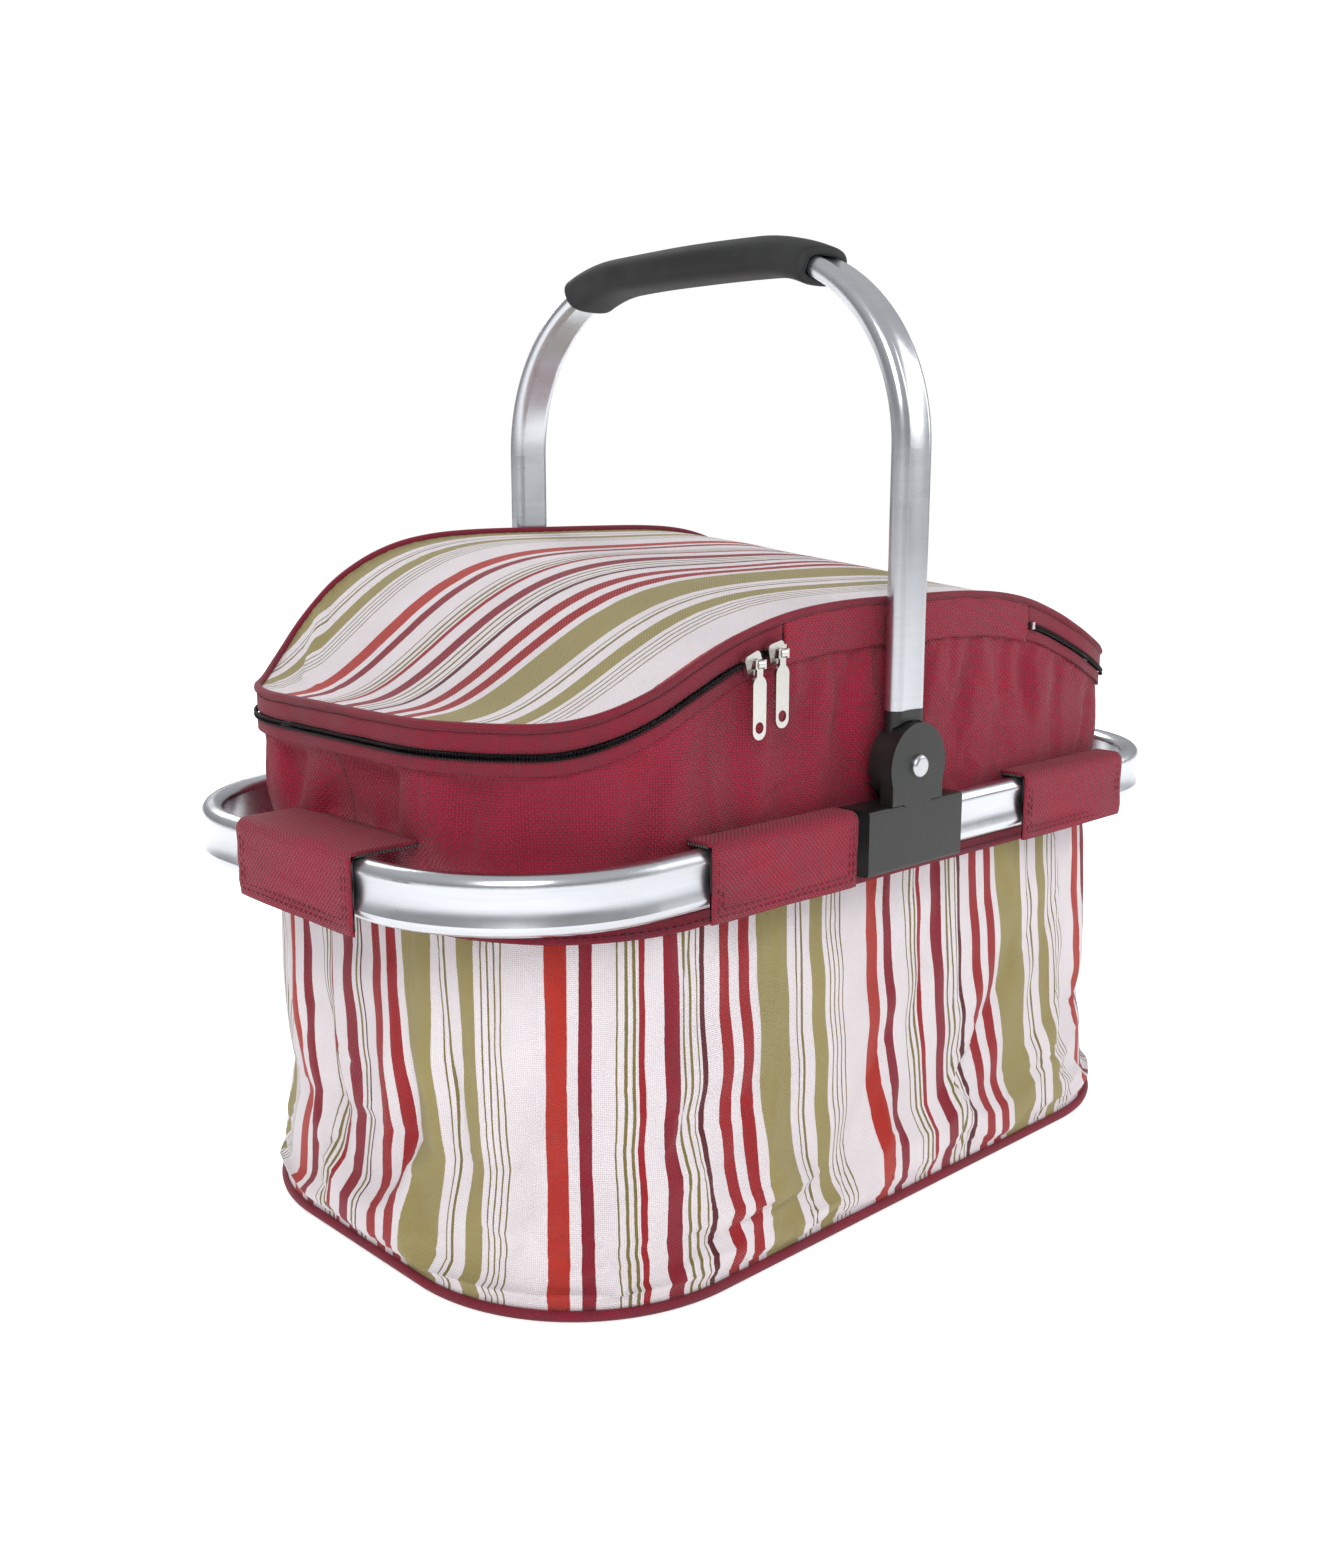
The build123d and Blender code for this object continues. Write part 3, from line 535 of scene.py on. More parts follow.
def striped_canvas(name, axis, start, direction):
    """Printed stripes across one axis of the piece's map, over a fine plain weave whose hollows darken the
    print as painted shade, with an uneven dye tone.
    """
    material, tree, shader, where = new_finish(name, roughness=0.8, Sheen_Weight=0.15, Sheen_Roughness=0.4)
    split = tree.nodes.new("ShaderNodeSeparateXYZ")
    tree.links.new(where.outputs["UV"], split.inputs[0])
    bleed = place(tree, uneven, Vector=where.outputs["Object"], Scale=420.0)
    edge = spread(tree, bleed.outputs[0], 0.0, 1.0, -0.00018, 0.00018)
    travel = math(tree, "ADD", math(tree, "MULTIPLY", split.outputs[axis], direction), edge)
    turns = math(tree, "DIVIDE", math(tree, "SUBTRACT", travel, start), repeat_length * mm)
    position = math(tree, "FRACT", turns)
    half = len(stripe_repeat) // 2
    first, middle = stripe_ramp(tree, position, stripe_repeat[:half], 0.0)
    second, _ = stripe_ramp(tree, position, stripe_repeat[half:], middle)
    printed = mix_colour(tree, math(tree, "GREATER_THAN", position, middle), first, second)
    weave = place(tree, woven, Vector=where.outputs["UV"], Pitch=0.00075)
    tone = place(tree, uneven, Vector=where.outputs["Object"], Scale=22.0)
    # The weave's height darkens the print between threads (painted shade); the tone adds an uneven dye.
    thread_shade_and_tone = math(tree, "ADD", math(tree, "MULTIPLY", weave.outputs["Height"], 0.5),
                 math(tree, "MULTIPLY", tone.outputs[0], 0.4))
    darker = tree.nodes.new("ShaderNodeMix")
    darker.data_type = "RGBA"
    darker.blend_type = "MULTIPLY"
    darker.inputs[0].default_value = 1.0
    tree.links.new(printed, darker.inputs[6])
    tree.links.new(mix_colour(tree, spread(tree, thread_shade_and_tone, 0.1, 0.7), (0.66, 0.64, 0.64, 1), (1, 1, 1, 1)),
                   darker.inputs[7])
    tree.links.new(darker.outputs[2], shader.inputs["Base Color"])
    raise_surface(tree, shader, weave.outputs["Height"], 0.00022)
    return material


# %% All finishes
side_canvas = striped_canvas("Striped canvas, side", 0, 0.0303, 1.0)
lid_canvas = striped_canvas("Striped canvas, lid", 1, 0.0430, -1.0)
maroon = plain_cloth("Maroon oxford cloth", srgb(84, 2, 26), srgb(160, 10, 50), 0.0011, 0.00030)
maroon_tape = plain_cloth("Maroon tape", srgb(74, 2, 24), srgb(142, 8, 44), 0.0008, 0.00018)
maroon_base = plain_cloth("Maroon base cloth", srgb(66, 0, 14), srgb(120, 6, 32), 0.0009, 0.0003, False)
thread_dark = plain_cloth("Dark thread", srgb(30, 10, 14), srgb(70, 16, 28), 0.0004, 0.00006, False)
thread_maroon = plain_cloth("Maroon thread", srgb(60, 0, 14), srgb(112, 6, 30), 0.0004, 0.00006, False)
hook_cloth = plain_cloth("Black hook tape", srgb(12, 12, 14), srgb(44, 44, 48), 0.0007, 0.0004, False, 0.5)
satin_alloy = drawn_metal("Satin aluminium", srgb(206, 209, 214), 0.24, (0.06, 0.06, 1.0))
mill_alloy = drawn_metal("Mill aluminium", srgb(190, 192, 196), 0.34, (0.05, 1.0, 1.0))
rivet_metal = drawn_metal("Polished rivet", srgb(196, 198, 202), 0.2, (1.0, 1.0, 1.0))
nickel = drawn_metal("Nickel zip metal", srgb(205, 203, 198), 0.22, (1.0, 1.0, 1.0))
black_plastic = grained_solid("Black moulded plastic", srgb(22, 24, 23), srgb(38, 40, 39), 0.42, 1800.0,
                              0.00004)
coil_nylon = grained_solid("Black nylon coil", srgb(22, 16, 18), srgb(48, 34, 38), 0.38, 1500.0, 0.00002)
grip_rubber = grained_solid("Black grip foam", srgb(24, 25, 25), srgb(46, 47, 47), 0.72, 2200.0, 0.00012)
pressed_board = grained_solid("Pressed board", srgb(120, 92, 62), srgb(156, 124, 88), 0.85, 900.0, 0.00008)
foil, foil_tree, foil_shader, foil_where = new_finish("Foil lining", metallic=0.75, roughness=0.34)
foil_tone = place(foil_tree, uneven, Vector=foil_where.outputs["Object"], Scale=60.0)
foil_tree.links.new(mix_colour(foil_tree, foil_tone.outputs[0], srgb(186, 189, 194), srgb(226, 228, 232)),
                    foil_shader.inputs["Base Color"])
raise_surface(foil_tree, foil_shader, foil_tone.outputs[0], 0.0012)
print("finishes:", len(bpy.data.materials))


# %% [markdown]
# Metal and plastic are already right in the CAD model, so each node is only given its finish.

# %% Finish the carried-over nodes
node_finish = {
    "frame_rail": satin_alloy, "handle_tube": satin_alloy, "rail_splice": mill_alloy,
    "hinge_bracket": black_plastic, "handle_socket": black_plastic, "pivot_rivet": rivet_metal,
    "zip_slider": nickel, "zip_pull": nickel, "zip_stops": nickel,
    "base_panel": maroon_base, "base_board": pressed_board,
}
for name, node in nodes.items():
    finish = next((f for start, f in node_finish.items() if name.startswith(start)), None)
    if name.endswith("_hook_tape"):
        finish = hook_cloth
    if finish is not None:
        node.data.materials.clear()
        node.data.materials.append(finish)


# %% [markdown]
# ## Cloth
# Cut cloth is a little longer than the frame that stretches it, and buckles into folds. So each ply starts
# as a sheet with its main creases sculpted in, then Blender's cloth solver lets it grow by a few percent
# between pinned seams. The move of each point is capped, which keeps the ply in its own space. So most of
# the form is the sculpted relief, and the solver only loosens it.

# %% Cloth solver
def settle(piece, pinned, growth, pressure, frames, inward, outward):
    """Runs cloth on the mesh, then caps each point's move along its starting normal. pinned is 0 to 1 for
    each point."""
    group = piece.vertex_groups.new(name="pinned")
    for level in np.unique(pinned[pinned > 0]):
        group.add(np.flatnonzero(pinned == level).tolist(), float(level), "REPLACE")
    mesh = piece.data
    count = len(mesh.vertices)
    before, normals = np.zeros(count * 3), np.zeros(count * 3)
    mesh.vertices.foreach_get("co", before)
    mesh.vertex_normals.foreach_get("vector", normals)
    before, normals = before.reshape(-1, 3), normals.reshape(-1, 3)
    cloth = piece.modifiers.new("cloth", "CLOTH")
    cloth.settings.quality = 6
    cloth.settings.mass = 0.25
    cloth.settings.tension_stiffness = 25
    cloth.settings.compression_stiffness = 25
    cloth.settings.shear_stiffness = 8
    cloth.settings.bending_stiffness = 0.6
    cloth.settings.vertex_group_mass = "pinned"
    cloth.settings.shrink_min = -growth
    cloth.settings.effector_weights.gravity = 0.15
    cloth.collision_settings.use_collision = False
    cloth.collision_settings.use_self_collision = False
    if pressure:
        cloth.settings.use_pressure = True
        cloth.settings.uniform_pressure_force = pressure
    scene = bpy.context.scene
    for number in range(1, frames + 1):
        scene.frame_set(number)
    evaluated = piece.evaluated_get(bpy.context.evaluated_depsgraph_get())
    after = np.zeros(count * 3)
    evaluated.data.vertices.foreach_get("co", after)
    piece.modifiers.remove(cloth)
    piece.vertex_groups.remove(group)
    scene.frame_set(1)
    move = after.reshape(-1, 3) - before
    move[~np.isfinite(move).all(1)] = 0
    proud = np.einsum("ij,ij->i", move, normals)
    slide = move - proud[:, None] * normals
    length = np.linalg.norm(slide, axis=1)
    slide *= np.minimum(1, 2.5 * mm / np.maximum(length, 1e-9))[:, None]
    capped = before + slide + np.clip(proud, -inward, outward)[:, None] * normals
    mesh.vertices.foreach_set("co", capped.astype(np.float32).ravel())
    mesh.update()
    print(piece.name, "moved up to", round(1000 * float(np.abs(proud).max()), 1), "mm before the cap")


def thicken(piece, thickness):
    """Gives a sheet its thickness, inwards from the outer face."""
    solid = piece.modifiers.new("thickness", "SOLIDIFY")
    solid.thickness = thickness
    solid.offset = -1


# %% [markdown]
# The tub's side is pinched at its ends, because the bag folds flat along a crease at mid height. Creases
# are soft valleys given by their place, direction and depth. The side and its lining share one relief, so
# that the lining never comes through.

# %% Tub relief
side_length = outline_length(wall_half, wall_corner)
# place along the side from the middle of the left end, height, slope (0 level, 90 upright), length, depth
creases = [
    (0.028, 0.080, 84, 0.090, 4.5), (0.058, 0.092, 98, 0.070, 3.5), (-0.030, 0.078, 95, 0.085, 4.0),
    (0.086, 0.062, 78, 0.060, 2.5), (0.150, 0.070, 4, 0.110, 2.8), (0.262, 0.052, 58, 0.080, 3.4),
    (0.300, 0.090, 72, 0.075, 3.0), (0.356, 0.074, 44, 0.090, 3.6), (0.402, 0.098, 62, 0.060, 2.6),
    (0.448, 0.066, 28, 0.085, 3.6), (0.492, 0.094, 70, 0.070, 3.2), (0.540, 0.062, 110, 0.070, 3.0),
    (0.600, 0.078, 86, 0.090, 4.2), (0.650, 0.080, 96, 0.080, 3.8), (0.760, 0.066, 12, 0.100, 2.8),
    (0.860, 0.080, 60, 0.080, 3.2), (0.950, 0.060, 120, 0.080, 3.2), (1.050, 0.084, 80, 0.080, 3.2),
]


def side_relief(share, height):
    """Outward relief of the tub's side in metres: end pinch, fold-flat crease, creases and soft waves."""
    xy, _ = outline(wall_half, wall_corner, share)
    rise = np.clip(height / seam_level, 0, 1)
    free = np.sin(np.pi * rise) ** 0.6
    end = 1 / (1 + np.exp(-(np.abs(xy[..., 0]) - 0.160) / 0.012))
    fold = 0.65 * np.exp(-((height - 0.060) / 0.034) ** 2) + 0.35 * np.exp(-np.abs(height - 0.060) / 0.008)
    relief = -fold * (9.0 * end + 1.6)
    along = share * side_length
    for place_at, level, slope, length, depth in creases:
        gap = (along - place_at + side_length / 2) % side_length - side_length / 2
        angle = np.radians(slope)
        run = gap * np.cos(angle) + (height - level) * np.sin(angle)
        off = -gap * np.sin(angle) + (height - level) * np.cos(angle)
        shape = np.exp(-(run / (length / 2)) ** 2)
        relief = relief - depth * shape * np.exp(-np.abs(off) / 0.0065)
        relief = relief + 0.5 * depth * shape * np.exp(-((np.abs(off) - 0.016) / 0.009) ** 2)
    relief = relief + 1.0 * waves(share, height * 12, 3, 6, 26) + 1.4 * rise * (1 - rise) * 4
    return relief * free * mm


def tub_point(share, height, inset, relief_share=1.0):
    """Point of the tub's wall at a share of the way round and a height, set in from the outside."""
    rise = (height / seam_level)[..., None]
    bottom, out_low = outline(base_half, base_corner, share)
    top, out_high = outline(wall_half, wall_corner, share)
    low = np.minimum(rise, 1.0)
    xy = bottom * (1 - low) + top * low
    out = out_low * (1 - low) + out_high * low
    flare = np.clip(rise - 1, 0, None) * seam_level / (dome_top[1] - seam_level) * neck_flare
    xy = xy + np.stack([out[..., 0], np.zeros_like(out[..., 0])], -1) * flare
    xy = xy + out * (side_relief(share, height) * relief_share - inset)[..., None]
    return np.concatenate([xy, height[..., None]], -1)


# %% Striped side
side_rows, side_columns = 54, 480
ring = np.arange(side_columns) / side_columns
levels = np.linspace(3.6 * mm, seam_level - 0.2 * mm, side_rows)
share_grid, level_grid = np.broadcast_arrays(ring[None, :], levels[:, None])
side_points = tub_point(share_grid, level_grid, 0.0)
side_uv_grid = np.stack([share_grid * side_length, level_grid], -1)
side = make_piece("striped_side", side_points.reshape(-1, 3),
                  grid_faces(side_rows, side_columns, False, True).tolist(), "bag",
                  side_canvas)
layer = side.data.uv_layers.new(name="cloth")
corner_points = np.zeros(len(side.data.loops), np.int32)
side.data.loops.foreach_get("vertex_index", corner_points)
uv = side_uv_grid.reshape(-1, 2)[corner_points]
at_seam = (corner_points.reshape(-1, 4) % side_columns).max(1) == side_columns - 1
wrapped = np.repeat(at_seam, 4) & (corner_points % side_columns == 0)
uv[wrapped, 0] += side_length
layer.data.foreach_set("uv", uv.astype(np.float32).ravel())
side_pins = np.zeros((side_rows, side_columns))
side_pins[[0, 1, -2, -1]] = 1.0
settle(side, side_pins.ravel(), 0.035, 0.6, 18, 1.6 * mm, 5.0 * mm)
thicken(side, 1.0 * mm)
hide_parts("body_panel")


# %% [markdown]
# The neck is plain maroon cloth between the rail and the zip. It is gathered slightly along the zip, so
# small tucks run down from its top edge, and wide soft folds cross it. It stays clear of the rail, whose
# inner face is only a few millimetres away along the two long sides.

# %% Maroon neck
def neck_point(share, rise):
    """Point of the neck: rise 0 at the seam and 1 at the zip's lower tape."""
    edge_xy, edge_out = outline(lid_half, lid_corner, share)
    top = dome(edge_xy[..., 0], edge_xy[..., 1]) - tape_lower_drop[1] + 1.5 * mm
    height = seam_level + (top - seam_level) * rise
    wall = tub_point(share, height, 0.0, 0.0)
    end = 1 / (1 + np.exp(-(np.abs(edge_xy[..., 0]) - 0.165) / 0.012))
    room = 1.2 + 3.2 * np.clip((height - 0.205) / 0.02, 0, 1) + 3.5 * end
    soft = waves(share, rise * 0.22, 11, 9, 26) + waves(share, rise * 0.10, 12, 26, 54) * 0.4
    soft = np.sign(soft) * np.abs(soft) ** 0.7 * 1.25
    tuck = np.cos(2 * np.pi * share * 74 + 2.0 * waves(share, rise * 0.2, 13, 3,
                                                       9)) * np.exp(-(1 - rise) / 0.22)
    proud = (soft * 0.75 * room + tuck * 0.55) * np.sin(np.pi * np.clip(rise, 0,
                                                                        1)) ** 0.5 - 1.5 * end * rise
    blend = np.clip((rise - 0.86) / 0.14, 0, 1) ** 2
    out = edge_out * np.clip(proud, -3.5, room)[..., None] * mm
    xy = (wall[..., :2] + out) * (1 - blend)[..., None] + (edge_xy - 0.4 * mm * edge_out) * blend[..., None]
    return np.concatenate([xy, height[..., None]], -1)


neck_rows = 40
rise_grid = np.linspace(0, 1, neck_rows)[:, None]
neck_share, neck_rise = np.broadcast_arrays(ring[None, :], rise_grid)
neck_points = neck_point(neck_share, neck_rise)
neck_uv = np.stack([neck_share * side_length, neck_points[..., 2]], -1).reshape(-1, 2)
neck = make_piece("maroon_neck", neck_points.reshape(-1, 3),
                  grid_faces(neck_rows, side_columns, False, True).tolist(), "bag",
                  maroon, neck_uv)
neck_pins = np.zeros((neck_rows, side_columns))
neck_pins[[0, 1, -2, -1]] = 1.0
settle(neck, neck_pins.ravel(), 0.03, 0.3, 14, 1.5 * mm, 1.2 * mm)
thicken(neck, 0.9 * mm)
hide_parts("neck_panel")


# %% [markdown]
# Behind both plies is the insulation: a foam wall and floor with a foil face. It is one closed vessel whose
# section runs under the floor, up the outside, over the rim and down the inside.

# %% Insulated lining
lining_columns = 240
lining_ring = np.arange(lining_columns) / lining_columns


def lining_row(inset, height, relief_share=0.9):
    """One ring of the vessel."""
    level = np.full(lining_columns, height) if np.isscalar(height) else height
    return tub_point(lining_ring, level, inset, relief_share)


rim_xy, _ = outline(lid_half, lid_corner, lining_ring)
rim_height = dome(rim_xy[:, 0], rim_xy[:, 1]) - tape_lower_drop[1] - 1.0 * mm
climb = np.linspace(0, 1, 24)
floor_level, under_level = 10.2 * mm, 4.6 * mm


def floor_rows(height, inset, shares):
    """Rings that shrink to the middle of a level floor."""
    edge = lining_row(inset, height, 0.0)
    middle = np.array([0, 0, height])
    return [middle + (edge - middle) * share for share in shares]


rows = floor_rows(under_level, 4.5 * mm, (0.02, 0.5, 1.0))
rows += [lining_row(4.0 * mm, under_level + (rim_height - under_level) * c) for c in climb]
rows += [lining_row(9.5 * mm, rim_height - (rim_height - floor_level - 4 * mm) * c) for c in climb]
rows += floor_rows(floor_level, 12.0 * mm, (1.0, 0.75, 0.5, 0.25, 0.02))
vessel = np.stack(rows)
vessel_faces = grid_faces(len(rows), lining_columns, False, True).tolist()
last_ring = (len(rows) - 1) * lining_columns
vessel_faces += [list(range(lining_columns))[::-1], [last_ring + k for k in range(lining_columns)]]
lining = turned_out(make_piece("foil_lining", vessel.reshape(-1, 3), vessel_faces, "bag",
                               foil))
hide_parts("inner_liner", "wall_foam", "floor_foam")


# %% [markdown]
# The lid is a domed pad. A rounded rectangle is filled with rings of a square grid, which leaves no pole
# for the stripes or the cloth solver to stumble over.

# %% Lid surface
def filled_outline(half, corner, columns, rows_across):
    """Grid over a rounded rectangle: each square ring of the grid is laid on a shrunken outline."""
    a, b = np.meshgrid(np.linspace(-1, 1, columns), np.linspace(-1, 1, rows_across))
    size = np.maximum(np.abs(a), np.abs(b))
    scale = np.maximum(size, 1e-9)
    edge_a, edge_b = a / scale * half[0], b / scale * half[1]
    over_x = np.maximum(np.abs(edge_a) - (half[0] - corner), 0) / corner
    over_y = np.maximum(np.abs(edge_b) - (half[1] - corner), 0) / corner
    reach = np.sqrt(over_x ** 2 + over_y ** 2)
    longer = np.maximum(over_x, over_y)
    pull = np.where(reach > 1e-9, longer / np.maximum(reach, 1e-9), 1.0)
    x = np.sign(edge_a) * np.where(over_x > 0, half[0] - corner + over_x * pull * corner, np.abs(edge_a))
    y = np.sign(edge_b) * np.where(over_y > 0, half[1] - corner + over_y * pull * corner, np.abs(edge_b))
    return x * size, y * size, size


def slab(name, top, bottom, body, material, uv):
    """Closed piece between two grids of the same layout."""
    rows_across, columns = top.shape[:2]
    index = np.arange(rows_across * columns).reshape(rows_across, columns)
    loop = np.concatenate([index[0, :-1], index[:-1, -1], index[-1, :0:-1], index[:0:-1, 0]])
    below = loop + top[..., 0].size
    ahead, ahead_below = np.roll(loop, -1), np.roll(below, -1)
    wall = np.stack([loop, below, ahead_below, ahead], -1)
    faces = np.concatenate([grid_faces(rows_across, columns),
                            grid_faces(rows_across, columns, offset=top[..., 0].size, flip=True), wall])
    points = np.concatenate([top.reshape(-1, 3), bottom.reshape(-1, 3)])
    return turned_out(make_piece(name, points, faces.tolist(), body, material, uv))


lid_columns, lid_rows = 170, 104
cover_half = (lid_half[0] - 0.6 * mm, lid_half[1] - 0.6 * mm)
lid_x, lid_y, lid_size = filled_outline(cover_half, lid_corner - 0.6 * mm, lid_columns, lid_rows)
rim_fall = np.clip((lid_size - 0.9) / 0.1, 0, 1)
puff = 1.6 * mm * (1 - lid_size ** 6) * np.clip(1.2 - lid_size, 0, 1) + 0.5 * mm * waves(
    lid_x * 2, lid_y * 30, 21, 1, 5) * (1 - lid_size ** 4)
lid_top_height = dome(lid_x, lid_y) - 1.3 * mm - 0.9 * mm * rim_fall + puff
lid_top = np.stack([lid_x, lid_y, lid_top_height], -1)
cover = make_piece("striped_cover", lid_top.reshape(-1, 3), grid_faces(lid_rows, lid_columns).tolist(),
                   "lid",
                   lid_canvas, np.stack([lid_x, lid_y], -1).reshape(-1, 2))
settle(cover, (lid_size.ravel() > 0.985).astype(float), 0.006, 0.5, 14, 1.0 * mm, 1.5 * mm)
thicken(cover, 0.9 * mm)
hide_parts("lid_cover")

pad_x, pad_y, pad_size = filled_outline((lid_half[0] - 5 * mm, lid_half[1] - 5 * mm),
                                        lid_corner - 5 * mm, 80, 50)
pad_high = dome(pad_x, pad_y) - 3.4 * mm
quilt = 0.8 * mm * np.abs(np.sin(np.pi * pad_x / 0.05) * np.sin(np.pi * pad_y / 0.05)) ** 0.5
pad_low = dome(pad_x, pad_y) - 8.9 * mm + quilt * (1 - pad_size ** 8) + 1.2 * mm * pad_size ** 8
pad = slab("lid_pad", np.stack([pad_x, pad_y, pad_high], -1), np.stack([pad_x, pad_y, pad_low], -1), "lid",
           foil, None)
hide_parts("lid_foam", "lid_liner")


# %% [markdown]
# A maroon piping closes the lid's edge. Under it runs the zip: an upper and a lower tape, and between them
# two nylon coils. A coil is one long helix, which gives the ribbed line that a zip shows from the side.

# %% Piping and zip
edge_count = 520
edge_path, edge_out, edge_up = lid_path(0, 1 - 1 / edge_count, edge_count, 1.9 * mm)
wobble = 0.22 * mm * waves(np.arange(edge_count) / edge_count, 0.0, 31, 8, 60)
edge_path = edge_path + edge_out * wobble[:, None]
piping = sweep("lid_piping_cord", edge_path, edge_out, edge_up, round_section(3.4 * mm, 3.8 * mm, 10),
               "lid",
               maroon_tape, closed=True)
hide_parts("lid_piping")

zip_first, zip_last = near_share(strip_x[1] + 0.6 * mm), near_share(strip_x[0] - 0.6 * mm) + 1
for label, body, (high, low) in (("upper", "lid", tape_upper_drop), ("lower", "bag", tape_lower_drop)):
    path, out, up = lid_path(zip_first, zip_last, 460, (high + low) / 2)
    ripple = 0.3 * mm * waves(np.linspace(0, 1, 460), 0.0, 41 if label == "upper" else 42, 10, 50)
    tape = sweep(f"zip_tape_{label}_cloth", path + out * ripple[:, None], out, up,
                 flat_section(-0.6 * mm, 0.6 * mm, (high - low) / 2, (low - high) / 2), body,
                 maroon_tape)
    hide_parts(f"zip_tape_{label}")

coil_pitch = 1.4 * mm
steps_per_turn = 8
for label, body, drop, hand in (("upper", "lid", coil_upper_drop, 1),
                                ("lower", "bag", coil_lower_drop, -1)):
    turns = int((zip_last - zip_first) * outline_length(lid_half, lid_corner) / coil_pitch)
    path, out, up = lid_path(zip_first, zip_last, turns * steps_per_turn, drop)
    swing = np.arange(len(path)) / steps_per_turn * 2 * np.pi * hand
    path = path + out * ((1.5 + 0.5 * np.cos(swing)) * mm)[:, None] + up * (0.5 * mm * np.sin(swing))[:,
                                                                                                      None]
    coil = sweep(f"zip_coil_{label}_helix", path, out, up, round_section(0.5 * mm, 0.5 * mm, 4), body,
                 coil_nylon)
    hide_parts(f"zip_coil_{label}")
print("coil turns:", turns)


# %% [markdown]
# In the middle of the near side a strip of cloth takes the zip's place and is the lid's hinge. It rides on
# the bag alone, so its top edge stays behind when the lid opens. Blending it between the bag and the lid
# would be the better way.

# %% Fabric hinge
hinge_columns, hinge_rows = 110, 16
hinge_path, hinge_out, _ = lid_path(near_share(strip_x[0]), near_share(strip_x[1]), hinge_columns, 0.0)
fall = np.linspace(20.6 * mm, 3.0 * mm, hinge_rows)[:, None]
hinge_share = np.linspace(0, 1, hinge_columns)[None, :]
swell = 0.9 * np.sin(np.pi * (fall - fall.min()) / (fall.max() - fall.min())) + 0.3 * waves(
    hinge_share, fall * 400, 51, 4, 14)
hinge_points = np.zeros((hinge_rows, hinge_columns, 3))
hinge_points[..., :2] = hinge_path[None, :, :2] + hinge_out[None, :, :2] * ((0.8 + swell) * mm)[..., None]
hinge_points[..., 2] = hinge_path[None, :, 2] - fall
hinge_uv = np.stack([np.broadcast_to(hinge_path[None, :, 0], swell.shape), hinge_points[..., 2]], -1)
hinge = make_piece("fabric_hinge", hinge_points.reshape(-1, 3),
                   grid_faces(hinge_rows, hinge_columns).tolist(),
                   "bag", maroon, hinge_uv.reshape(-1, 2))
thicken(hinge, 0.9 * mm)
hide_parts("hinge_strip")


# %% [markdown]
# Below the rail a dark binding covers the seam, with one row of black stitches, and a round piping runs
# along the base.

# %% Binding and base piping
binding_levels = np.linspace(seam_level - 7 * mm, seam_level, 6)
binding_share, binding_level = np.broadcast_arrays(ring[None, :], binding_levels[:, None])
binding_points = tub_point(binding_share, binding_level, -1.3 * mm)
binding = make_piece("seam_binding", binding_points.reshape(-1, 3),
                     grid_faces(6, side_columns, False,
                                True).tolist(), "bag", maroon_tape,
                     np.stack([binding_share * side_length, binding_level], -1).reshape(-1, 2))
thicken(binding, 0.9 * mm)
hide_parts("rail_binding")

stitch_share = np.linspace(0, 1, 900)
_, stitch_out = outline(wall_half, wall_corner, stitch_share)
stitch_normal = np.concatenate([stitch_out, np.zeros((900, 1))], 1)
below_rail = tub_point(stitch_share, np.full(900, seam_level - 4.5 * mm), -1.5 * mm)
stitch_row("binding_stitches", below_rail, stitch_normal, "bag", thread_dark)

base_xy, base_out = outline(base_half, base_corner, np.arange(480) / 480)
base_path = np.concatenate([base_xy, np.full((480, 1), 2.2 * mm)], 1)
base_side = np.concatenate([base_out, np.zeros((480, 1))], 1)
base_up = np.tile([0.0, 0.0, 1.0], (480, 1))
base_cord = sweep("base_piping_cord", base_path, base_side, base_up,
                  round_section(4.4 * mm, 4.4 * mm, 12), "bag",
                  maroon_tape, closed=True)
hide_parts("base_piping")


# %% [markdown]
# Six flaps wrap the rail and hold the tub up. Each is a doubled strip that comes over the rail in a soft
# roll and hangs down its face, with a stitched border. The section is carried across the flap's width.

# %% Rail flaps
flap_cloth = 1.3 * mm
roll = 4.6 * mm


def hook_section(root, top, face, hem):
    """Section of a flap: out over the rail, round a soft roll, down to the hem, and back inside the cloth."""
    turn = np.linspace(np.pi / 2, 0, 9)
    outer = [np.stack([np.linspace(root, face - roll, 8), np.full(8, top)], -1),
             np.stack([face - roll + roll * np.cos(turn), top - roll + roll * np.sin(turn)], -1),
             np.stack([np.full(14, face), np.linspace(top - roll - 1 * mm, hem, 14)], -1)]
    tight = roll - flap_cloth
    inner = [np.stack([np.full(14, face - flap_cloth), np.linspace(hem, top - roll - 1 * mm, 14)], -1),
             np.stack([face - roll + tight * np.cos(turn[::-1]),
                       top - roll + tight * np.sin(turn[::-1])], -1),
             np.stack([np.linspace(face - roll, root, 8), np.full(8, top - flap_cloth)], -1)]
    return np.concatenate(outer + inner)


def border_line(at, width, level_high, level_low, face, inset):
    """Stitch line down one side, along the hem and up the other, on the flap's face."""
    across = width / 2 - inset
    corners = np.array([[-across, level_high], [-across, level_low + inset], [across, level_low + inset],
                        [across, level_high]])
    steps = np.concatenate([np.linspace(a, b, 40) for a, b in zip(corners, corners[1:])])
    return at(steps[:, 0], np.full(len(steps), face), steps[:, 1])


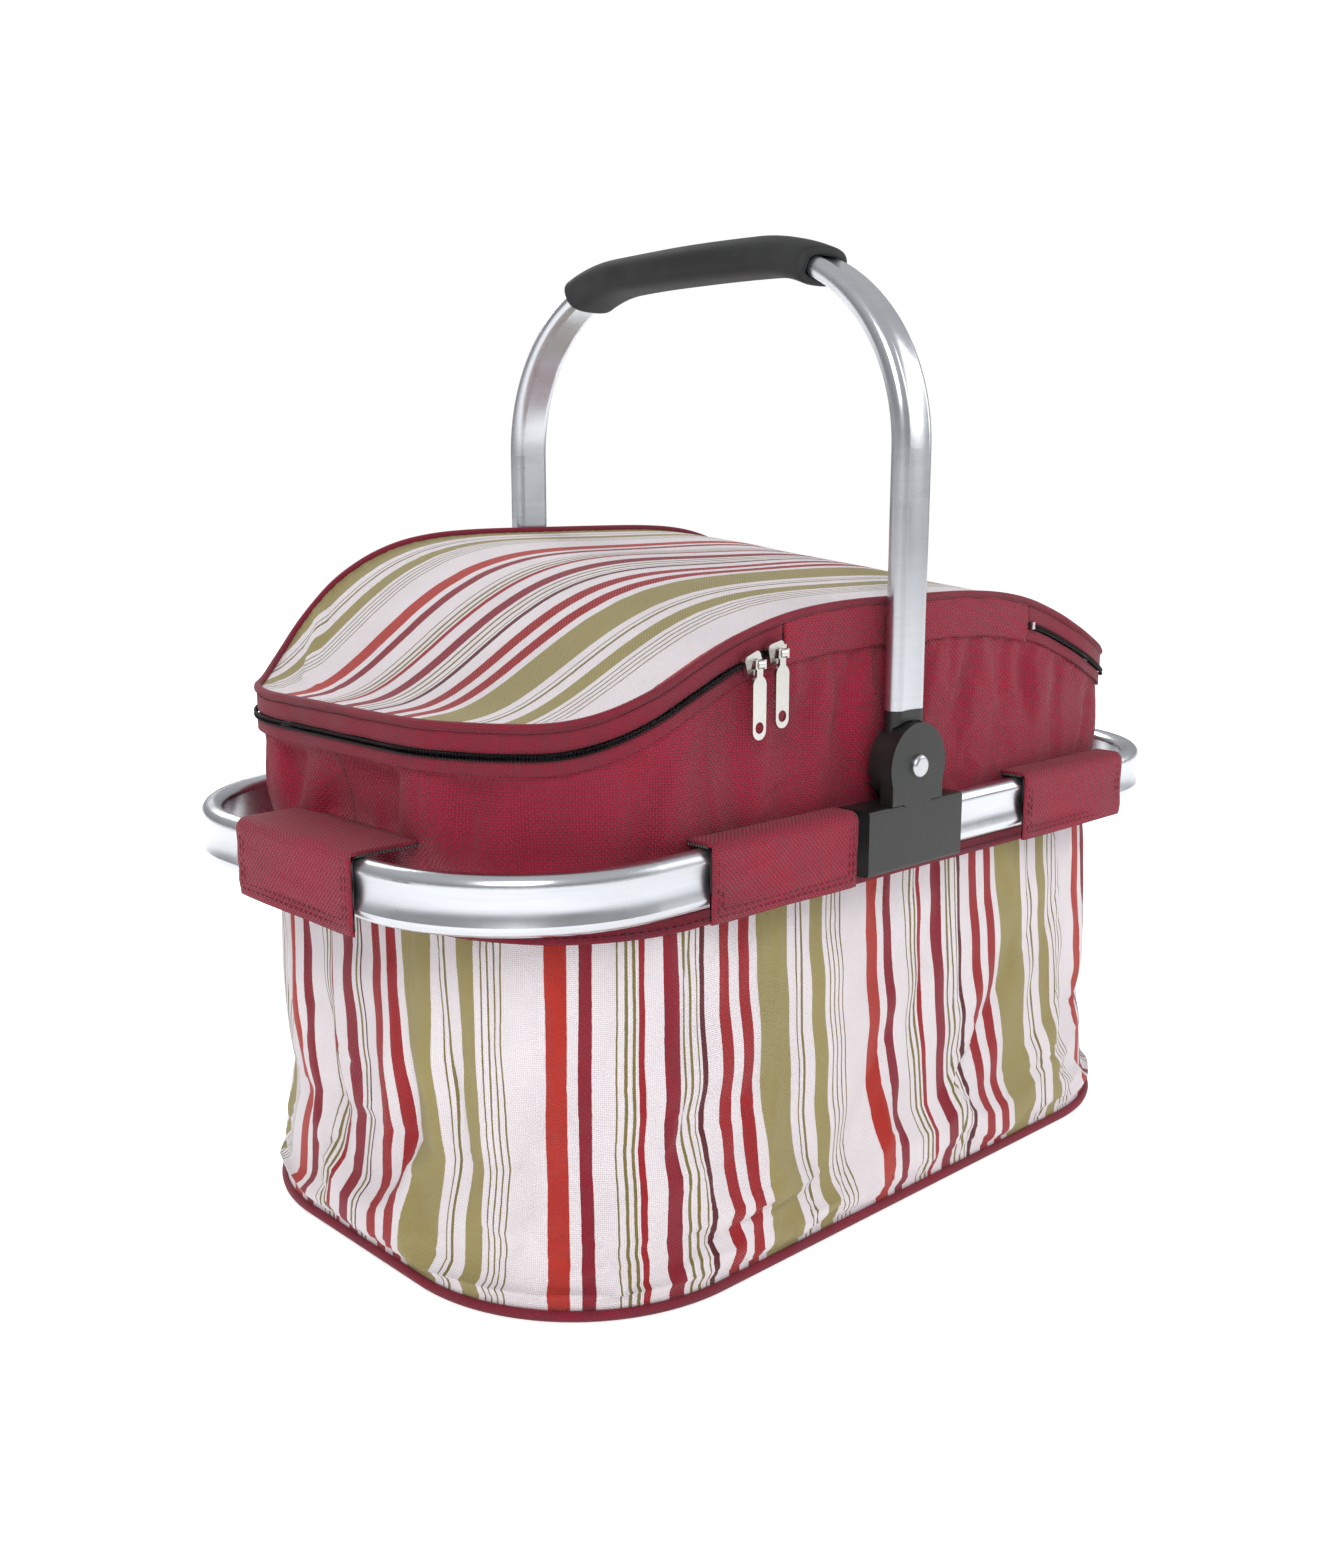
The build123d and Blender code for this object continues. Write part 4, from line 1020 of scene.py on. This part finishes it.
for place_name in ("near_left", "near_right", "far_left", "far_right", "left_end", "right_end"):
    node = f"rail_flap_{place_name}"
    low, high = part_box(node)
    centre = np.array([(low.x + high.x) / 2, (low.y + high.y) / 2])
    if place_name.endswith("end"):
        outward = np.array([np.sign(centre[0]), 0.0, 0.0])
        reach, root, width = max(abs(low.x), abs(high.x)), min(abs(low.x), abs(high.x)), high.y - low.y
        middle = np.array([0.0, centre[1], 0.0])
    else:
        outward = np.array([0.0, np.sign(centre[1]), 0.0])
        reach, root, width = max(abs(low.y), abs(high.y)), min(abs(low.y), abs(high.y)), high.x - low.x
        middle = np.array([centre[0], 0.0, 0.0])
    along = np.cross(outward, [0.0, 0.0, 1.0])

    def at(across, out, up, middle=middle, outward=outward, along=along):
        """Points of this flap from across its width, outwards and up."""
        return (middle + np.outer(across, along) + np.outer(out, outward)
                + np.outer(up, [0.0, 0.0, 1.0]))

    section = hook_section(root, high.z, reach, low.z)
    stations = np.linspace(-width / 2, width / 2, 44)
    across, spot = np.broadcast_arrays(stations[:, None], np.arange(len(section))[None, :])
    out, up = section[spot, 0], section[spot, 1]
    hang = np.clip((high.z - 4 * mm - up) / (high.z - low.z), 0, 1)
    seed = 61 + len(place_name)
    swell = -0.5 * mm * hang + 0.8 * mm * waves(across * 3, hang * 4, seed, 1, 6) * hang
    edge_lift = 0.35 * mm * np.exp(-(width / 2 - np.abs(across)) / (3 * mm))
    up = up + 0.35 * mm * waves(across * 4, 0.0, seed + 9, 1, 5) * hang
    points = at(across.ravel(), (out + swell - edge_lift).ravel(), up.ravel())
    faces = grid_faces(len(stations), len(section), False, True).tolist()
    tail = (len(stations) - 1) * len(section)
    faces += [list(range(len(section)))[::-1], [tail + k for k in range(len(section))]]
    girth = np.concatenate([[0], np.cumsum(np.linalg.norm(np.diff(section, axis=0), axis=1))])
    flap_uv = np.stack([across, girth[spot]], -1).reshape(-1, 2)
    flap = turned_out(make_piece(f"flap_{place_name}_cloth", points, faces, f"flap_{place_name}",
                                 maroon, flap_uv))
    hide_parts(node)
    for number, inset in enumerate((3.0 * mm, 5.4 * mm)):
        line = border_line(at, width, high.z - 5 * mm, low.z, reach - 0.25 * mm, inset)
        stitch_row(f"flap_{place_name}_stitches_{number}", line, np.tile(outward, (len(line), 1)),
                   f"flap_{place_name}", thread_maroon)


# %% [markdown]
# The grip is a foam sleeve pushed over the handle, hollow at both ends. Its surface goes along the outside,
# rolls over the lip and comes back through the bore, so that it closes on itself like a ring.

# %% Foam grip
grip_low, grip_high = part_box("foam_grip")
tube_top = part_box("handle_tube")[1].z
grip_x = (grip_low.x + grip_high.x) / 2
span, apex, bend, sweep_turn = 127 * mm, tube_top - 4.5 * mm, 83.5 * mm, np.radians(88)
arch_radius = (span - bend * (1 - np.cos(sweep_turn))) / np.cos(sweep_turn)
leg_top = apex - bend * np.sin(sweep_turn) - arch_radius * (1 - np.sin(sweep_turn))
arch_half = arch_radius * (np.pi / 2 - sweep_turn)


def handle_line(s):
    """Middle of the handle at distance s from its crown: a slow arch, then a tighter bend. Gives y, z, turn."""
    past = np.clip(np.abs(s) - arch_half, 0, None)
    turn = np.minimum(np.abs(s), arch_half) / arch_radius + past / bend
    arch_y, arch_z = arch_radius * np.sin(turn), apex - arch_radius * (1 - np.cos(turn))
    bend_y, bend_z = span - bend + bend * np.sin(turn), leg_top + bend * np.cos(turn)
    y, z = np.where(past > 0, bend_y, arch_y), np.where(past > 0, bend_z, arch_z)
    return np.sign(s) * y, z, np.sign(s) * turn


grip_reach = arch_half + bend * (np.arcsin((78 * mm - (span - bend)) / bend) - (np.pi / 2 - sweep_turn))
lip = 2.6 * mm
body_s = np.linspace(-grip_reach + lip, grip_reach - lip, 70)
lip_turn = np.linspace(0, np.pi / 2, 7)[1:]
right_s, right_in = grip_reach - lip + lip * np.sin(lip_turn), lip * (1 - np.cos(lip_turn))
outer_s = np.concatenate([-right_s[::-1], body_s, right_s])
outer_in = np.concatenate([right_in[::-1], np.zeros(70), right_in])
inner_s = np.linspace(grip_reach - 0.4 * mm, -grip_reach + 0.4 * mm, 40)
ring_turn = np.arange(56) / 56 * 2 * np.pi


def oval(width, height, power):
    """Rounded oval: a circle whose corners are filled out by power."""
    c, s = np.cos(ring_turn), np.sin(ring_turn)
    return np.sign(c) * np.abs(c) ** power * width / 2, np.sign(s) * np.abs(s) ** power * height / 2


grip_width, grip_height = grip_high.x - grip_low.x, 17 * mm
outer_x, outer_r = oval(1.0, 1.0, 0.72)
bore_x, bore_r = oval(21.6 * mm, 9.6 * mm, 0.5)
dent = 0.35 * mm * waves(outer_s * 3, 0.0, 71, 1, 6)[:, None]
ring_x = np.concatenate([outer_x[None] * (grip_width - 2 * outer_in[:, None]) + dent * outer_x[None],
                         np.broadcast_to(bore_x, (40, 56))])
ring_r = np.concatenate([outer_r[None] * (grip_height - 2 * outer_in[:, None]) + dent * outer_r[None],
                         np.broadcast_to(bore_r, (40, 56))])
line_y, line_z, line_turn = handle_line(np.concatenate([outer_s, inner_s]))
grip_points = np.stack([grip_x + ring_x, line_y[:, None] + ring_r * np.sin(line_turn)[:, None],
                        line_z[:, None] + ring_r * np.cos(line_turn)[:, None]], -1)
grip = turned_out(make_piece("grip_sleeve", grip_points.reshape(-1, 3),
                             grid_faces(len(line_y), 56, True,
                                        True).tolist(), "handle", grip_rubber))
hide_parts("foam_grip")
print("grip half length, mm:", round(1000 * grip_reach, 1))


# %% [markdown]
# ## Setting
# A plain pale floor, three large soft lights and a camera a little above the rim. The sky is paler above and
# greyer at the horizon, so that polished metal has something to reflect.

# %% Floor, lights and camera
bpy.ops.mesh.primitive_plane_add(size=12)
floor = bpy.context.object
floor.name = "floor"
floor_finish, floor_tree, floor_shader, floor_where = new_finish("Pale floor", roughness=0.6)
floor_tone = place(floor_tree, uneven, Vector=floor_where.outputs["Object"], Scale=3.0)
floor_tree.links.new(mix_colour(floor_tree, floor_tone.outputs[0], (0.94, 0.94, 0.94, 1),
                                (0.97, 0.97, 0.97, 1)),
                     floor_shader.inputs["Base Color"])
floor_shader.inputs["Emission Color"].default_value = (1, 1, 1, 1)
floor_shader.inputs["Emission Strength"].default_value = 0.5
floor.data.materials.append(floor_finish)
floor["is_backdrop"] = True


def soft_light(name, place_at, target, size, power):
    """Square area light that faces target."""
    data = bpy.data.lights.new(name, "AREA")
    data.shape, data.size, data.energy = "SQUARE", size, power
    lamp = bpy.data.objects.new(name, data)
    bpy.context.scene.collection.objects.link(lamp)
    lamp.location = place_at
    aim = np.array(target) - np.array(place_at)
    lamp.rotation_euler = mathutils_direction(aim)
    return lamp


def mathutils_direction(aim):
    """Rotation that points a light or camera along aim, level from side to side."""
    flat = np.hypot(aim[0], aim[1])
    return (float(np.arctan2(flat, -aim[2])), 0.0, float(np.arctan2(aim[1], aim[0]) - np.pi / 2))


middle_point = (0.0, 0.0, 0.2)
soft_light("key light", (-1.5, -1.4, 1.7), middle_point, 1.1, 30)
soft_light("fill light", (1.7, -1.2, 1.1), middle_point, 1.3, 11)
soft_light("back light", (0.3, 1.9, 1.6), middle_point, 1.2, 20)

world = bpy.data.worlds.new("studio")
world.use_nodes = True
bpy.context.scene.world = world
sky = world.node_tree
seen = sky.nodes.new("ShaderNodeTexCoord")
sky_split = sky.nodes.new("ShaderNodeSeparateXYZ")
sky.links.new(seen.outputs["Generated"], sky_split.inputs[0])
sky_colour = mix_colour(sky, spread(sky, sky_split.outputs[2], -0.05, 0.6), (0.42, 0.42, 0.43, 1),
                        (0.95, 0.95, 0.96, 1))
ray = sky.nodes.new("ShaderNodeLightPath")
shown = mix_colour(sky, ray.outputs["Is Camera Ray"], sky_colour, (1.62, 1.62, 1.62, 1))
sky.links.new(shown, sky.nodes["Background"].inputs[0])
sky.nodes["Background"].inputs[1].default_value = 0.62

azimuth, elevation, distance = np.radians(-43.38), np.radians(11.10), 0.756
target = np.array([-0.0179, 0.0149, 0.1755])
back = np.array([np.sin(azimuth) * np.cos(elevation), -np.cos(azimuth) * np.cos(elevation),
                 np.sin(elevation)])
camera_data = bpy.data.cameras.new("camera")
camera_data.lens = 35.07
camera_data.sensor_width = 36
camera = bpy.data.objects.new("camera", camera_data)
bpy.context.scene.collection.objects.link(camera)
camera.location = target + back * distance
camera.rotation_euler = mathutils_direction(-back)
bpy.context.scene.camera = camera
bpy.context.scene.view_settings.view_transform = "Standard"
bpy.context.scene.view_settings.look = "None"

# %% Sizes and finish
low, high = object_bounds()
